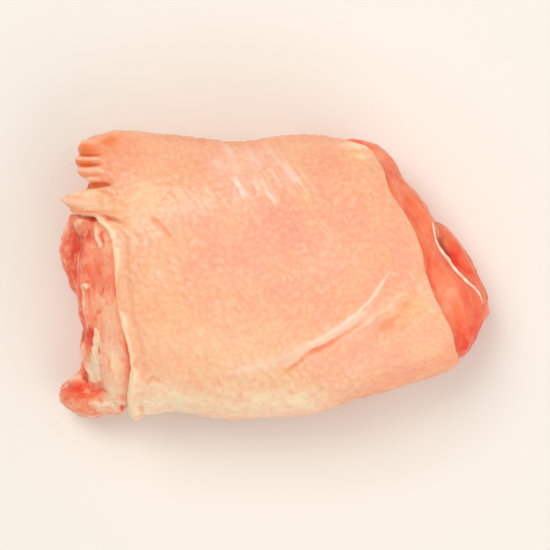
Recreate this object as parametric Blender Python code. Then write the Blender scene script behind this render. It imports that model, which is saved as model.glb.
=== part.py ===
"""A raw chicken thigh, lying skin side up: a loaf of dark meat with torn muscle bellies at both
ends, under one sheet of skin that wraps down its front and back sides.

Lengths are in millimetres until they reach a mesh, +X runs along the thigh, +Z is up, and the
meat rests on z = 0.
"""

import math

import bmesh
import bpy
import numpy as np
from mathutils.bvhtree import BVHTree

MM = 0.001  # metres in a millimetre

# Driving dimensions of the finished piece
HEIGHT = 34.0  # crown of the skin above the table
SKIN_THICK = 1.9  # skin with the thin fat under it
SKIN_GAP = 0.35  # between the skin and the meat
COVER = SKIN_THICK + SKIN_GAP

# The plan outline, as y at x, of the back and the front side
BACK_SIDE = [(-53, 30), (-47, 32.2), (-40, 33.8), (-30, 34.6), (-18, 33.0), (0, 32.9), (12, 33.6),
             (20, 33.2), (25, 31.6), (28, 29), (32.5, 22), (37.6, 16), (44, 9), (49, 2.8), (53, -4)]
FRONT_SIDE = [(-53, -31.5), (-47, -33.4), (-38, -34.4), (-27, -33.4), (-16, -34.5), (-5, -34.8),
              (10, -32.5), (20, -30), (30, -27.3), (40, -24.4), (47, -19.8), (53, -12)]
# The crown's height at x, as a share of HEIGHT
CROWN = [(-53, 0.52), (-46, 0.72), (-37, 0.885), (-20, 0.985), (-5, 1.0), (12, 0.98), (25, 0.92),
         (35, 0.82), (44, 0.63), (49, 0.48), (53, 0.34)]
TOP_POWER = 2.6  # how square a cross-section's shoulders are
FOOT_POWER = 2.5  # and the turn into its flat foot
WAIST = 0.36  # height of the widest level, as a share of the crown's
FOOT_DROP = 1.12  # over 1, the foot is cut flat by the table
MEAN_HALF_WIDTH = 31.8
MEAN_CROWN = 31.0

# Where the skin ends, as x at a plan y on the top: ragged with tongues on the left, straight on the right
LEFT_EDGE = [(-41.0, 12.2), (-38.9, 10.2), (-37.4, 7.6), (-37.0, 3.0), (-36.8, -2.0), (-36.2, -8.0),
             (-35.5, -12.0), (-34.5, -16.0), (-33.8, -21.0), (-35.0, -28.0)]
RIGHT_EDGE = [(26.0, 20.6), (27.2, 17.6), (29.5, 13.6), (32.2, 8.8), (34.3, 4.3), (35.0, 0.4),
              (36.4, -3.4), (38.7, -7.8), (41.4, -13.2)]
# and down the two sides, as x at the girth measured from the crown
LEFT_SIDES = {"front": [(-54, -32.5), (-50, -36.6), (-44, -34.8), (-37, -35.6)],
              "back": [(14.2, -42.4), (14.8, -44.2), (15.4, -46.4), (16.2, -47.4), (17.4, -47.9),
                       (18.6, -48.4), (19.5, -49.0), (20.0, -48.2), (20.4, -46.4), (20.9, -44.0),
                       (21.6, -42.7), (22.4, -43.1), (23.4, -44.0), (24.6, -45.0), (25.6, -45.8),
                       (26.6, -46.0), (27.4, -45.8), (28.1, -46.3), (28.8, -47.2), (29.4, -46.7),
                       (30.2, -46.1), (31.6, -46.1), (34, -46.6), (36, -46.7), (39, -46.3),
                       (42, -45.2), (46, -43.8), (54, -42.4)]}
RIGHT_SIDES = {"front": [(-54, 34.0), (-50, 38.6), (-44, 41.4), (-34, 44.0)],
               "back": [(26, 25.6), (28, 24.6), (30, 23.6), (31.6, 22.9), (32.2, 22.4), (32.8, 20.8),
                        (33.6, 18.6), (34.6, 16.4), (36, 14.2), (38, 12.2), (41, 11.0), (46, 10.6),
                        (54, 11.5)]}
HEM_FRONT, HEM_BACK = -50.4, 50.4  # girth at the skin's lower hems
HEM_WAVE = 1.1
THIN_EDGE = 0.5  # share of the thickness left at the skin's edges

# The body of meat under the skin: its two ends, the length over which each rounds off, and how much
# slimmer it is there than the outline
CORE_ENDS, CORE_CAPS, CORE_SLIMMER = (-46.0, 49.0), (8.0, 16.0), 0.06

COLOURS = {"meat": (0.80, 0.28, 0.20), "skin": (0.93, 0.58, 0.38)}  # linear RGB

# Muscle bellies and fat that show at the ends: the middle line's points, and a radius at each
BELLIES = {
    "left_main": ([(-42.5, 13, 17), (-41, -4, 18), (-39.5, -18, 17), (-38.5, -28, 12)], [5.0, 6.0, 6.0, 4.5]),
    "left_outer": ([(-47, 14, 12), (-47.6, 7, 12.5), (-45.2, -2, 12), (-42, -9, 12)], [4.2, 4.8, 4.4, 3.0]),
    "left_inner": ([(-44.5, 9.5, 18), (-43, 2, 20), (-41.5, -5, 20)], [2.6, 3.2, 2.2]),
    "left_low": ([(-41, -8, 9), (-42.6, -15, 10), (-44.2, -22, 9)], [3.4, 4.6, 3.6]),
    "left_corner": ([(-52.6, -30.2, 4.8), (-48.5, -29.6, 6.2), (-42, -28.8, 8.6), (-36, -27, 11),
                     (-30, -25, 12)], [5.0, 5.8, 6.2, 6.4, 6.0]),
    "left_fold": ([(-48.4, 14.8, 17.5), (-47.6, 12.2, 18.6), (-45.6, 10.6, 19.8), (-43.4, 11.4, 20.4)],
                  [2.0, 2.2, 2.2, 1.4]),
    "left_under_skin": ([(-40, 29, 12), (-39.8, 22, 13.5), (-42.2, 15, 13)], [4.0, 5.2, 5.4]),
    "left_foot_back": ([(-38, 26, 6), (-41.6, 14, 6), (-43, 4, 6)], [5.0, 6.2, 5.4]),
    "left_foot_front": ([(-39, 2, 6), (-38.8, -12, 6), (-42.4, -22, 6.2), (-44.4, -29, 6.2)],
                        [5.0, 5.2, 5.8, 5.6]),
    "left_fat": ([(-43.2, -16.5, 14.2), (-43.6, -21, 13.4), (-42.4, -26.5, 12.4)], [1.6, 2.4, 2.0]),
    "left_fat_upper": ([(-45.6, -1.2, 16.2), (-43.6, -3.6, 17.4), (-41.6, -5, 18.6)], [1.3, 1.9, 1.3]),
    "right_band": ([(11, 29.8, 12), (18.6, 29.8, 13), (22.8, 28.0, 14), (26.9, 20.8, 16), (33.6, 11.4, 17.4),
                    (38, 2, 17)], [2.4, 3.7, 4.7, 5.0, 5.3, 5.2]),
    "right_lobe": ([(35.5, 4, 14.5), (40.6, -2.4, 15), (44, -8.6, 13.5), (43, -15.4, 11), (39, -19, 10)],
                   [5.0, 6.2, 6.4, 6.2, 5.0]),
    "right_rim": ([(33, 12, 8), (40.0, 8.4, 10.5), (45.4, 3.8, 11), (48.0, -3.0, 9.5), (47.8, -9.4, 8)],
                  [3.8, 4.0, 4.4, 4.6, 4.2]),
    "right_under": ([(40, -1.6, 8), (46.2, -7, 8), (47.2, -13.4, 7.5), (44.6, -20.0, 7.2)],
                    [5.0, 5.6, 5.6, 4.8]),
    "right_foot": ([(22, 25, 6), (30, 13.6, 6), (40, 2, 6), (45, -8, 6), (40, -18, 6)],
                   [5.0, 5.6, 5.6, 5.4, 5.2]),
}
# The white edge of sinew between the two bellies on the right, as a plan line, and its radii
SINEW = ([(37.2, 13.4), (38.3, 8.4), (41.2, 3.8), (44.4, 0.1), (48.3, -3.3), (50.7, -7.8)],
         [0.35, 0.5, 0.6, 0.65, 0.6, 0.35])

# Folds in the skin, as plan lines with the height of the ridge and its half width
RIDGE = ([(33, 1), (25.9, -6.3), (16, -12), (6.1, -16.6), (-5, -20.5), (-15, -23.5)], 0.8, 2.5)
VALLEY = ([(36, -3.5), (26, -11), (15.4, -16.6), (4, -20.6)], -0.6, 2.2)
CORNER_FOLD = ([(9, 34), (16, 32.2), (23.6, 29.2)], 0.8, 1.3)
CREASE = ([(-30, -24.2), (-28, -23.0), (-25.8, -23.4)], -0.7, 1.2)
# y, height and half width of each pleat that runs in from the left edge
PLEATS = [(29.5, -0.6, 0.9), (27.3, 0.6, 0.9), (25.6, -0.6, 0.8), (24.2, 0.5, 0.8), (21.0, -0.8, 1.0),
          (17.4, 0.7, 1.8), (13.2, -0.6, 1.0)]
PLEAT_REACH = 9.0


def curve_at(table, x):
    """Smooth value at x of a table of (x, value) points: a cubic through them, level beyond its ends."""
    xs, ys = np.array(sorted(table), float).T
    slopes = np.gradient(ys, xs)
    slopes[0] = slopes[-1] = 0.0
    x = np.clip(x, xs[0], xs[-1])
    i = np.clip(np.searchsorted(xs, x) - 1, 0, len(xs) - 2)
    span = xs[i + 1] - xs[i]
    t = (x - xs[i]) / span
    from_left = ys[i] * (1 + 2 * t) + slopes[i] * span * t
    from_right = ys[i + 1] * (3 - 2 * t) - slopes[i + 1] * span * (1 - t)
    return from_left * (1 - t) ** 2 + from_right * t**2


def smooth_step(low, high, value):
    """0 below low, 1 above high, and smooth in between."""
    t = np.clip((value - low) / (high - low), 0.0, 1.0)
    return t * t * (3 - 2 * t)


def power(value, exponent):
    """A power that keeps its sign, for superellipses."""
    return np.sign(value) * np.abs(value) ** exponent


def section(x):
    """Middle, half width, waist and crown of the bare loaf's cross-section at x."""
    back, front = curve_at(BACK_SIDE, x), curve_at(FRONT_SIDE, x)
    crown = HEIGHT * curve_at(CROWN, x)
    return (back + front) / 2, (back - front) / 2 - COVER, WAIST * crown, crown - COVER


def on_section(angle, half_width, waist, crown):
    """Offset from the middle and height on a cross-section: 0 is the front, a quarter turn the crown."""
    rise, across = np.sin(angle), np.cos(angle)
    top = waist + (crown - waist) * power(np.maximum(rise, 0), 2 / TOP_POWER)
    foot = waist * (1 - FOOT_DROP * power(np.maximum(-rise, 0), 2 / FOOT_POWER))
    side = np.where(rise >= 0, power(across, 2 / TOP_POWER), power(across, 2 / FOOT_POWER))
    return -half_width * side, np.where(rise >= 0, top, np.maximum(foot, 0.0))


def girth_table():
    """Angles round the mean cross-section, and the girth of each: its arc length from the crown."""
    angles = np.linspace(-0.5 * math.pi, 1.5 * math.pi, 4001)
    y, z = on_section(angles, MEAN_HALF_WIDTH, WAIST * MEAN_CROWN, MEAN_CROWN)
    length = np.concatenate([[0], np.cumsum(np.hypot(np.diff(y), np.diff(z)))])
    return angles, length - length[2000]


ANGLES, GIRTHS = girth_table()


def loaf(x, girth):
    """Points of the bare loaf's surface, for arrays of x and girth."""
    middle, half_width, waist, crown = section(x)
    y, z = on_section(np.interp(girth, GIRTHS, ANGLES), half_width, waist, crown)
    return np.stack([x, middle + y, z], axis=-1)


def loaf_normal(x, girth):
    """Outward normals of the bare loaf."""
    step = 0.6
    along = loaf(x + step, girth) - loaf(x - step, girth)
    round_it = loaf(x, girth + step) - loaf(x, girth - step)
    normal = np.cross(along, round_it)
    return normal / np.linalg.norm(normal, axis=-1, keepdims=True)


def girth_of(x, y, z=None):
    """Girth of a plan point on the loaf's top, or of any point seen from the section's middle, and how
    far out the point is, where 1 is on the loaf."""
    middle, half_width, waist, crown = section(x)
    across = (middle - y) / half_width
    if z is None:
        side = np.clip(across, -0.999, 0.999)
        return np.interp(np.arccos(power(side, TOP_POWER / 2)), ANGLES, GIRTHS), 1.0
    up = (z - waist) / np.where(z >= waist, crown - waist, waist)
    exponent = np.where(z >= waist, TOP_POWER, FOOT_POWER)
    out = (np.abs(across) ** exponent + np.abs(up) ** exponent) ** (1 / exponent) + 1e-9
    rise, side = power(up / out, exponent / 2), power(across / out, exponent / 2)
    angle = np.arctan2(rise, side)
    angle = np.where(angle < -0.5 * math.pi, angle + 2 * math.pi, angle)
    return np.interp(angle, ANGLES, GIRTHS), out


def edge_by_girth(points, sides):
    """A skin edge as a table of (girth, x)."""
    top = [(float(girth_of(x, y)[0]), x) for x, y in points]
    return sorted(sides["front"] + top + sides["back"])


LEFT_BY_GIRTH = edge_by_girth(LEFT_EDGE, LEFT_SIDES)
RIGHT_BY_GIRTH = edge_by_girth(RIGHT_EDGE, RIGHT_SIDES)


def edge_at(table, girth):
    """Where a skin edge lies, as x at a girth."""
    return np.interp(girth, *np.array(table, float).T)


def distance_to_line(x, y, line):
    """Plan distance from points to a polyline, and how far along it, from 0 to 1, the nearest point is."""
    best, along = np.full(np.shape(x), 1e9), np.zeros(np.shape(x))
    ends = np.array(line, float)
    spans = np.linalg.norm(np.diff(ends, axis=0), axis=1)
    start = np.concatenate([[0], np.cumsum(spans)])
    for i, span in enumerate(spans):
        direction = (ends[i + 1] - ends[i]) / span
        t = np.clip((x - ends[i, 0]) * direction[0] + (y - ends[i, 1]) * direction[1], 0, span)
        near = np.hypot(x - ends[i, 0] - t * direction[0], y - ends[i, 1] - t * direction[1])
        along = np.where(near < best, (start[i] + t) / start[-1], along)
        best = np.minimum(near, best)
    return best, along


def fold(x, y, line, height, half_width):
    """Relief of one fold that fades at both of its ends."""
    away, along = distance_to_line(x, y, line)
    fade = smooth_step(0, 0.2, along) * smooth_step(0, 0.25, 1 - along)
    return height * fade * np.exp(-((away / half_width) ** 2))


def skin_relief(x, y, from_left, from_right, on_top):
    """Height of the skin's folds, slack and rims over its plain thickness."""
    relief = sum(fold(x, y, *one) for one in (RIDGE, VALLEY, CORNER_FOLD, CREASE))
    for middle, height, half_width in PLEATS:
        fade = 1 - smooth_step(0.3 * PLEAT_REACH, PLEAT_REACH, from_left)
        relief = relief + height * fade * np.exp(-(((y - middle) / half_width) ** 2))
    slack = 0.35 * np.sin(0.16 * x + 0.09 * y + 1.1) + 0.3 * np.sin(0.11 * x - 0.21 * y)
    left_rim = 0.45 * np.exp(-(((from_left - 1.2) / 1.1) ** 2))
    right_rim = 0.25 * np.exp(-(((from_right - 1.4) / 1.2) ** 2))
    bulge = 0.5 * np.sin(0.13 * x + 0.6) + 0.3 * np.sin(0.31 * x + np.sign(y))
    return (relief + slack) * on_top + bulge * (1 - on_top) + left_rim + right_rim


def stations(low, high, spacing):
    """Positions from low to high whose spacing is given by a function of the position."""
    made = [low]
    while made[-1] < high:
        made.append(made[-1] + spacing(made[-1]))
    return low + (np.array(made) - low) * (high - low) / (made[-1] - low)


def mesh_object(name, points, faces, colour, roughness):
    """An object from points in millimetres, with its material."""
    mesh = bpy.data.meshes.new(name)
    mesh.from_pydata([tuple(p) for p in points * MM], [], faces)
    mesh.update()
    mesh.shade_smooth()
    material = bpy.data.materials.new(name)
    material.use_nodes = True
    shader = material.node_tree.nodes["Principled BSDF"]
    shader.inputs["Base Color"].default_value = (*colour, 1.0)
    shader.inputs["Roughness"].default_value = roughness
    shader.inputs["Metallic"].default_value = 0.0
    mesh.materials.append(material)
    made = bpy.data.objects.new(name, mesh)
    bpy.context.scene.collection.objects.link(made)
    return made


def closed_sheet(outer, inner):
    """Points and faces of a sheet from its two grids, both split alike, with a rim round its edge."""
    rows, columns = outer.shape[:2]
    size = rows * columns
    index = np.arange(size).reshape(rows, columns)
    a, b = index[:-1, :-1].ravel(), index[:-1, 1:].ravel()
    c, d = index[1:, 1:].ravel(), index[1:, :-1].ravel()
    faces = [*zip(a, b, c), *zip(a, c, d)]
    faces += [(size + i, size + k, size + j) for i, j, k in faces]
    border = [*index[0, :-1], *index[:-1, -1], *index[-1, :0:-1], *index[:0:-1, 0]]
    for i, j in zip(border, border[1:] + border[:1]):
        faces.append((j, i, size + i, size + j))
    faces = [tuple(int(v) for v in f) for f in faces]
    return np.concatenate([outer.reshape(-1, 3), inner.reshape(-1, 3)]), faces


def skin_row(girth):
    """Spacing of the skin's rows: close where its left edge is ragged, wider down its sides."""
    if 8 < girth < 34:
        return 1.2
    return 2.2 if -34 < girth < 36 else 3.1


def skin_column(share):
    """Spacing of the skin's columns, as a share of its width: close at both edges."""
    return 0.017 if share < 0.14 or share > 0.96 else 0.037


def make_skin():
    """The sheet of skin: a grid over the loaf between its ragged edges, with its folds."""
    girths = stations(HEM_FRONT, HEM_BACK, skin_row)
    shares = stations(0.0, 1.0, skin_column)
    girth, share = np.meshgrid(girths, shares, indexing="ij")
    left, right = edge_at(LEFT_BY_GIRTH, girth), edge_at(RIGHT_BY_GIRTH, girth)
    x = left + (right - left) * share
    near_hem = np.exp(-np.minimum(girth - HEM_FRONT, HEM_BACK - girth) / 7.0)
    girth = girth + HEM_WAVE * near_hem * np.sin(0.21 * x + np.sign(girth))
    base, normal = loaf(x, girth), loaf_normal(x, girth)
    on_top = smooth_step(0.2, 0.8, normal[..., 2])
    relief = skin_relief(x, base[..., 1], x - left, right - x, on_top)
    lift = 1.2 * smooth_step(-41, -50, x) * on_top
    inner = base + normal * (SKIN_GAP + lift)[..., None]
    thick = np.maximum(SKIN_THICK + relief, 0.9)
    to_edge = np.minimum(np.minimum(x - left, right - x), np.minimum(girth - HEM_FRONT, HEM_BACK - girth))
    thick = thick * (THIN_EDGE + (1 - THIN_EDGE) * smooth_step(-0.5, 1.6, to_edge))
    outer = inner + normal * thick[..., None]
    points, faces = closed_sheet(outer, inner)
    return mesh_object("skin", points, faces, COLOURS["skin"], 0.35)


def ring_body(rings):
    """Points and faces of a body from equal rings of points, closed by a point at each end."""
    count = len(rings[0])
    ends = [rings[0].mean(axis=0), rings[-1].mean(axis=0)]
    points = np.concatenate([*rings, np.array(ends)])
    first, last = len(rings) * count, len(rings) * count + 1
    faces = []
    for k in range(len(rings) - 1):
        for j in range(count):
            a, b = k * count + j, k * count + (j + 1) % count
            faces.append((a, b, b + count, a + count))
    for j in range(count):
        faces.append((first, (j + 1) % count, j))
        tail = (len(rings) - 1) * count
        faces.append((last, tail + j, tail + (j + 1) % count))
    return points, faces


def core_body():
    """The loaf itself, a little smaller where the bellies cover its two ends."""
    low, high = CORE_ENDS
    left_cap, right_cap = CORE_CAPS
    girths = np.linspace(GIRTHS[0], GIRTHS[-1], 45)[:-1]
    turns = np.linspace(0.12, math.pi / 2, 6)
    xs = np.concatenate([
        (low + left_cap * (1 - np.sin(turns)))[::-1],
        np.linspace(low + left_cap, high - right_cap, 24)[1:-1],
        high - right_cap * (1 - np.sin(turns)),
    ])
    rings = []
    for x in np.unique(np.round(xs, 4)):
        into = max((low + left_cap - x) / left_cap, (x - high + right_cap) / right_cap, 0.0)
        size = (1 - min(into, 0.995) ** 3) ** (1 / 3)
        size *= 1 - CORE_SLIMMER * max(smooth_step(-38, -44, x), smooth_step(34, 42, x))
        middle, _, waist, _ = section(x)
        hub = np.array([x, middle, waist])
        rings.append(hub + (loaf(np.full(len(girths), x), girths) - hub) * size)
    return ring_body(rings[::-1])


def smooth_path(points, count):
    """Points spread along a smooth curve through the given ones."""
    knots = np.array(points, float)
    spans = np.linalg.norm(np.diff(knots, axis=0), axis=1)
    at = np.concatenate([[0], np.cumsum(spans)])
    places = at[-1] * (1 - np.cos(np.linspace(0, math.pi, count))) / 2
    line = [curve_at(list(zip(at, knots[:, i])), places) for i in range(3)]
    return np.stack(line, axis=-1), places / at[-1]


def belly_rings(path, radii, sides, count):
    """Rings of a rounded sausage along a path."""
    line, share = smooth_path(path, count)
    radius = curve_at(list(zip(np.linspace(0, 1, len(radii)), radii)), share)
    tangent = np.gradient(line, axis=0)
    tangent /= np.linalg.norm(tangent, axis=1, keepdims=True)
    turns = np.linspace(0, 2 * math.pi, sides, endpoint=False)
    rings = []
    for centre, forward, r, s in zip(line, tangent, radius, share):
        sideways = np.cross(forward, (0, 0, 1.0))
        sideways /= np.linalg.norm(sideways)
        up = np.cross(sideways, forward)
        taper = max(0.18, (1 - abs(2 * s - 1) ** 3) ** (1 / 2))
        ring = centre + r * taper * (np.outer(np.cos(turns), sideways) + np.outer(np.sin(turns), up))
        ring[:, 2] = np.maximum(ring[:, 2], 0.35)
        rings.append(ring)
    return rings


def tucked(points):
    """The points with those under the skin drawn inside the loaf, so that no belly meets the skin."""
    x, y, z = points.T
    girth, out = girth_of(x, y, z)
    inside = np.minimum(x - edge_at(LEFT_BY_GIRTH, girth), edge_at(RIGHT_BY_GIRTH, girth) - x)
    most = 0.975 + 0.2 * smooth_step(-0.6, -3.6, inside)
    middle, _, waist, _ = section(x)
    shrink = np.minimum(1, most / out)
    return np.stack([x, middle + (y - middle) * shrink, waist + (z - waist) * shrink], axis=-1)


def keep_largest_shell(mesh):
    """Drops every shell but the one with the most faces, and so fills what the join sealed off."""
    body = bmesh.new()
    body.from_mesh(mesh)
    left, largest = set(body.faces), []
    while left:
        shell, front = [], [left.pop()]
        while front:
            face = front.pop()
            shell.append(face)
            beside = {near for edge in face.edges for near in edge.link_faces} & left
            left -= beside
            front += beside
        largest = max(largest, shell, key=len)
    kept = set(largest)
    bmesh.ops.delete(body, geom=[face for face in body.faces if face not in kept], context="FACES")
    body.to_mesh(mesh)
    body.free()


def laid(line, bodies):
    """The points of a plan line, lifted on to the highest of the bodies below each."""
    trees = [BVHTree.FromPolygons([tuple(p) for p in points], faces) for points, faces in bodies]
    above = 2 * HEIGHT
    made = []
    for x, y in line:
        hits = [tree.ray_cast((x, y, above), (0, 0, -1))[0] for tree in trees]
        made.append((x, y, max(hit.z for hit in hits if hit)))
    return made


def make_meat():
    """The core with every belly, the fat and the sinew joined to it."""
    bodies = {"core": core_body()}
    for name, (path, radii) in BELLIES.items():
        sides, count = (8, 10) if max(radii) < 3 else (12, 10)
        points, faces = ring_body(belly_rings(path, radii, sides, count))
        bodies[name] = (tucked(points), faces)
    line, radii = SINEW
    bodies["sinew"] = ring_body(belly_rings(laid(line, bodies.values()), radii, 6, 12))
    joined = bpy.data.collections.new("bellies")
    bpy.context.scene.collection.children.link(joined)
    core = mesh_object("meat", *bodies.pop("core"), COLOURS["meat"], 0.3)
    for name, body in bodies.items():
        made = mesh_object(name, *body, COLOURS["meat"], 0.3)
        bpy.context.scene.collection.objects.unlink(made)
        joined.objects.link(made)
    union = core.modifiers.new("join", "BOOLEAN")
    union.operation, union.operand_type, union.collection = "UNION", "COLLECTION", joined
    union.solver = "EXACT"
    evaluated = core.evaluated_get(bpy.context.evaluated_depsgraph_get())
    core.data = bpy.data.meshes.new_from_object(evaluated)
    core.modifiers.clear()
    keep_largest_shell(core.data)
    for made in list(joined.objects):
        bpy.data.objects.remove(made)
    bpy.data.collections.remove(joined)
    return core


def main():
    for old in list(bpy.data.objects):
        bpy.data.objects.remove(old)
    make_meat()
    make_skin()


main()
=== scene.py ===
"""A raw chicken thigh lying skin side up, seen from straight above on a plain pale floor.

The skin and the flesh are modelled here at full detail over the shape that the frame's two solids
have. Lengths are in millimetres until they reach a mesh.
"""

import math

import bpy
import numpy as np
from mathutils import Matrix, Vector
from mathutils.bvhtree import BVHTree


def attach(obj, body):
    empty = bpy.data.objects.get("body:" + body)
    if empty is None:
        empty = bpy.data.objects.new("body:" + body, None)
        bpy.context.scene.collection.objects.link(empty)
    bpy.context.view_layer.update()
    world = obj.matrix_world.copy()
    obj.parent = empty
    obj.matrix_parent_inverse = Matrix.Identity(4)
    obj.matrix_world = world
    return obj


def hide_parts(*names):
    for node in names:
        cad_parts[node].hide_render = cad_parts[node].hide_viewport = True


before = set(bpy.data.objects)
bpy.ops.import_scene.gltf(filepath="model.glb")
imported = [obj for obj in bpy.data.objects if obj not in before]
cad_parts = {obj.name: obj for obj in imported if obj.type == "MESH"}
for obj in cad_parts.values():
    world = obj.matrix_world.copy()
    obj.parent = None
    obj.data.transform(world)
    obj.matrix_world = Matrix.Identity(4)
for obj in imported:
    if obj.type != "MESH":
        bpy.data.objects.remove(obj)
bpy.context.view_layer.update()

MM = 0.001  # metres in a millimetre

# The shape shared with the solids

HEIGHT = 34.0
SKIN_THICK = 1.9
SKIN_GAP = 0.35
COVER = SKIN_THICK + SKIN_GAP

BACK_SIDE = [(-53, 30), (-47, 32.2), (-40, 33.8), (-30, 34.6), (-18, 33), (0, 32.9), (12, 33.6),
             (20, 33.2), (25, 31.6), (28, 29), (32.5, 22), (37.6, 16), (44, 9), (49, 2.8), (53, -4)]
FRONT_SIDE = [(-53, -31.5), (-47, -33.4), (-38, -34.4), (-27, -33.4), (-16, -34.5), (-5, -34.8),
              (10, -32.5), (20, -30), (30, -27.3), (40, -24.4), (47, -19.8), (53, -12)]
CROWN = [(-53, 0.52), (-46, 0.72), (-37, 0.885), (-20, 0.985), (-5, 1), (12, 0.98), (25, 0.92),
         (35, 0.82), (44, 0.63), (49, 0.48), (53, 0.34)]
TOP_POWER, FOOT_POWER = 2.6, 2.5
WAIST = 0.36
FOOT_DROP = 1.12
MEAN_HALF_WIDTH, MEAN_CROWN = 31.8, 31.0

# The skin's edges: plan points over the top, and (girth, x) points down each side
LEFT_EDGE = [(-41, 12.2), (-38.9, 10.2), (-37.4, 7.6), (-37, 3), (-36.8, -2), (-36.2, -8),
             (-35.5, -12), (-34.5, -16), (-33.8, -21), (-35, -28)]
RIGHT_EDGE = [(26, 20.6), (27.2, 17.6), (29.5, 13.6), (32.2, 8.8), (34.3, 4.3), (35, 0.4),
              (36.4, -3.4), (38.7, -7.8), (41.4, -13.2)]
LEFT_SIDES = {"front": [(-54, -32.5), (-50, -36.6), (-44, -34.8), (-37, -35.6)],
              "back": [(14.2, -42.4), (14.8, -44.2), (15.4, -46.4), (16.2, -47.4), (17.4, -47.9),
                       (18.6, -48.4), (19.5, -49), (20, -48.2), (20.4, -46.4), (20.9, -44),
                       (21.6, -42.7), (22.4, -43.1), (23.4, -44), (24.6, -45), (25.6, -45.8),
                       (26.6, -46), (27.4, -45.8), (28.1, -46.3), (28.8, -47.2), (29.4, -46.7),
                       (30.2, -46.1), (31.6, -46.1), (34, -46.6), (36, -46.7), (39, -46.3),
                       (42, -45.2), (46, -43.8), (54, -42.4)]}
RIGHT_SIDES = {"front": [(-54, 34), (-50, 38.6), (-44, 41.4), (-34, 44)],
               "back": [(26, 25.6), (28, 24.6), (30, 23.6), (31.6, 22.9), (32.2, 22.4), (32.8, 20.8),
                        (33.6, 18.6), (34.6, 16.4), (36, 14.2), (38, 12.2), (41, 11), (46, 10.6),
                        (54, 11.5)]}
HEM_FRONT, HEM_BACK = -50.4, 50.4
HEM_WAVE, HEM_REACH = 1.1, 7.0

# The flesh: the loaf's ends with their caps, and bellies of muscle and fat, each a path and its radii
CORE_ENDS, CORE_CAPS, CORE_SLIMMER = (-46, 49), (8, 16), 0.06

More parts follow.
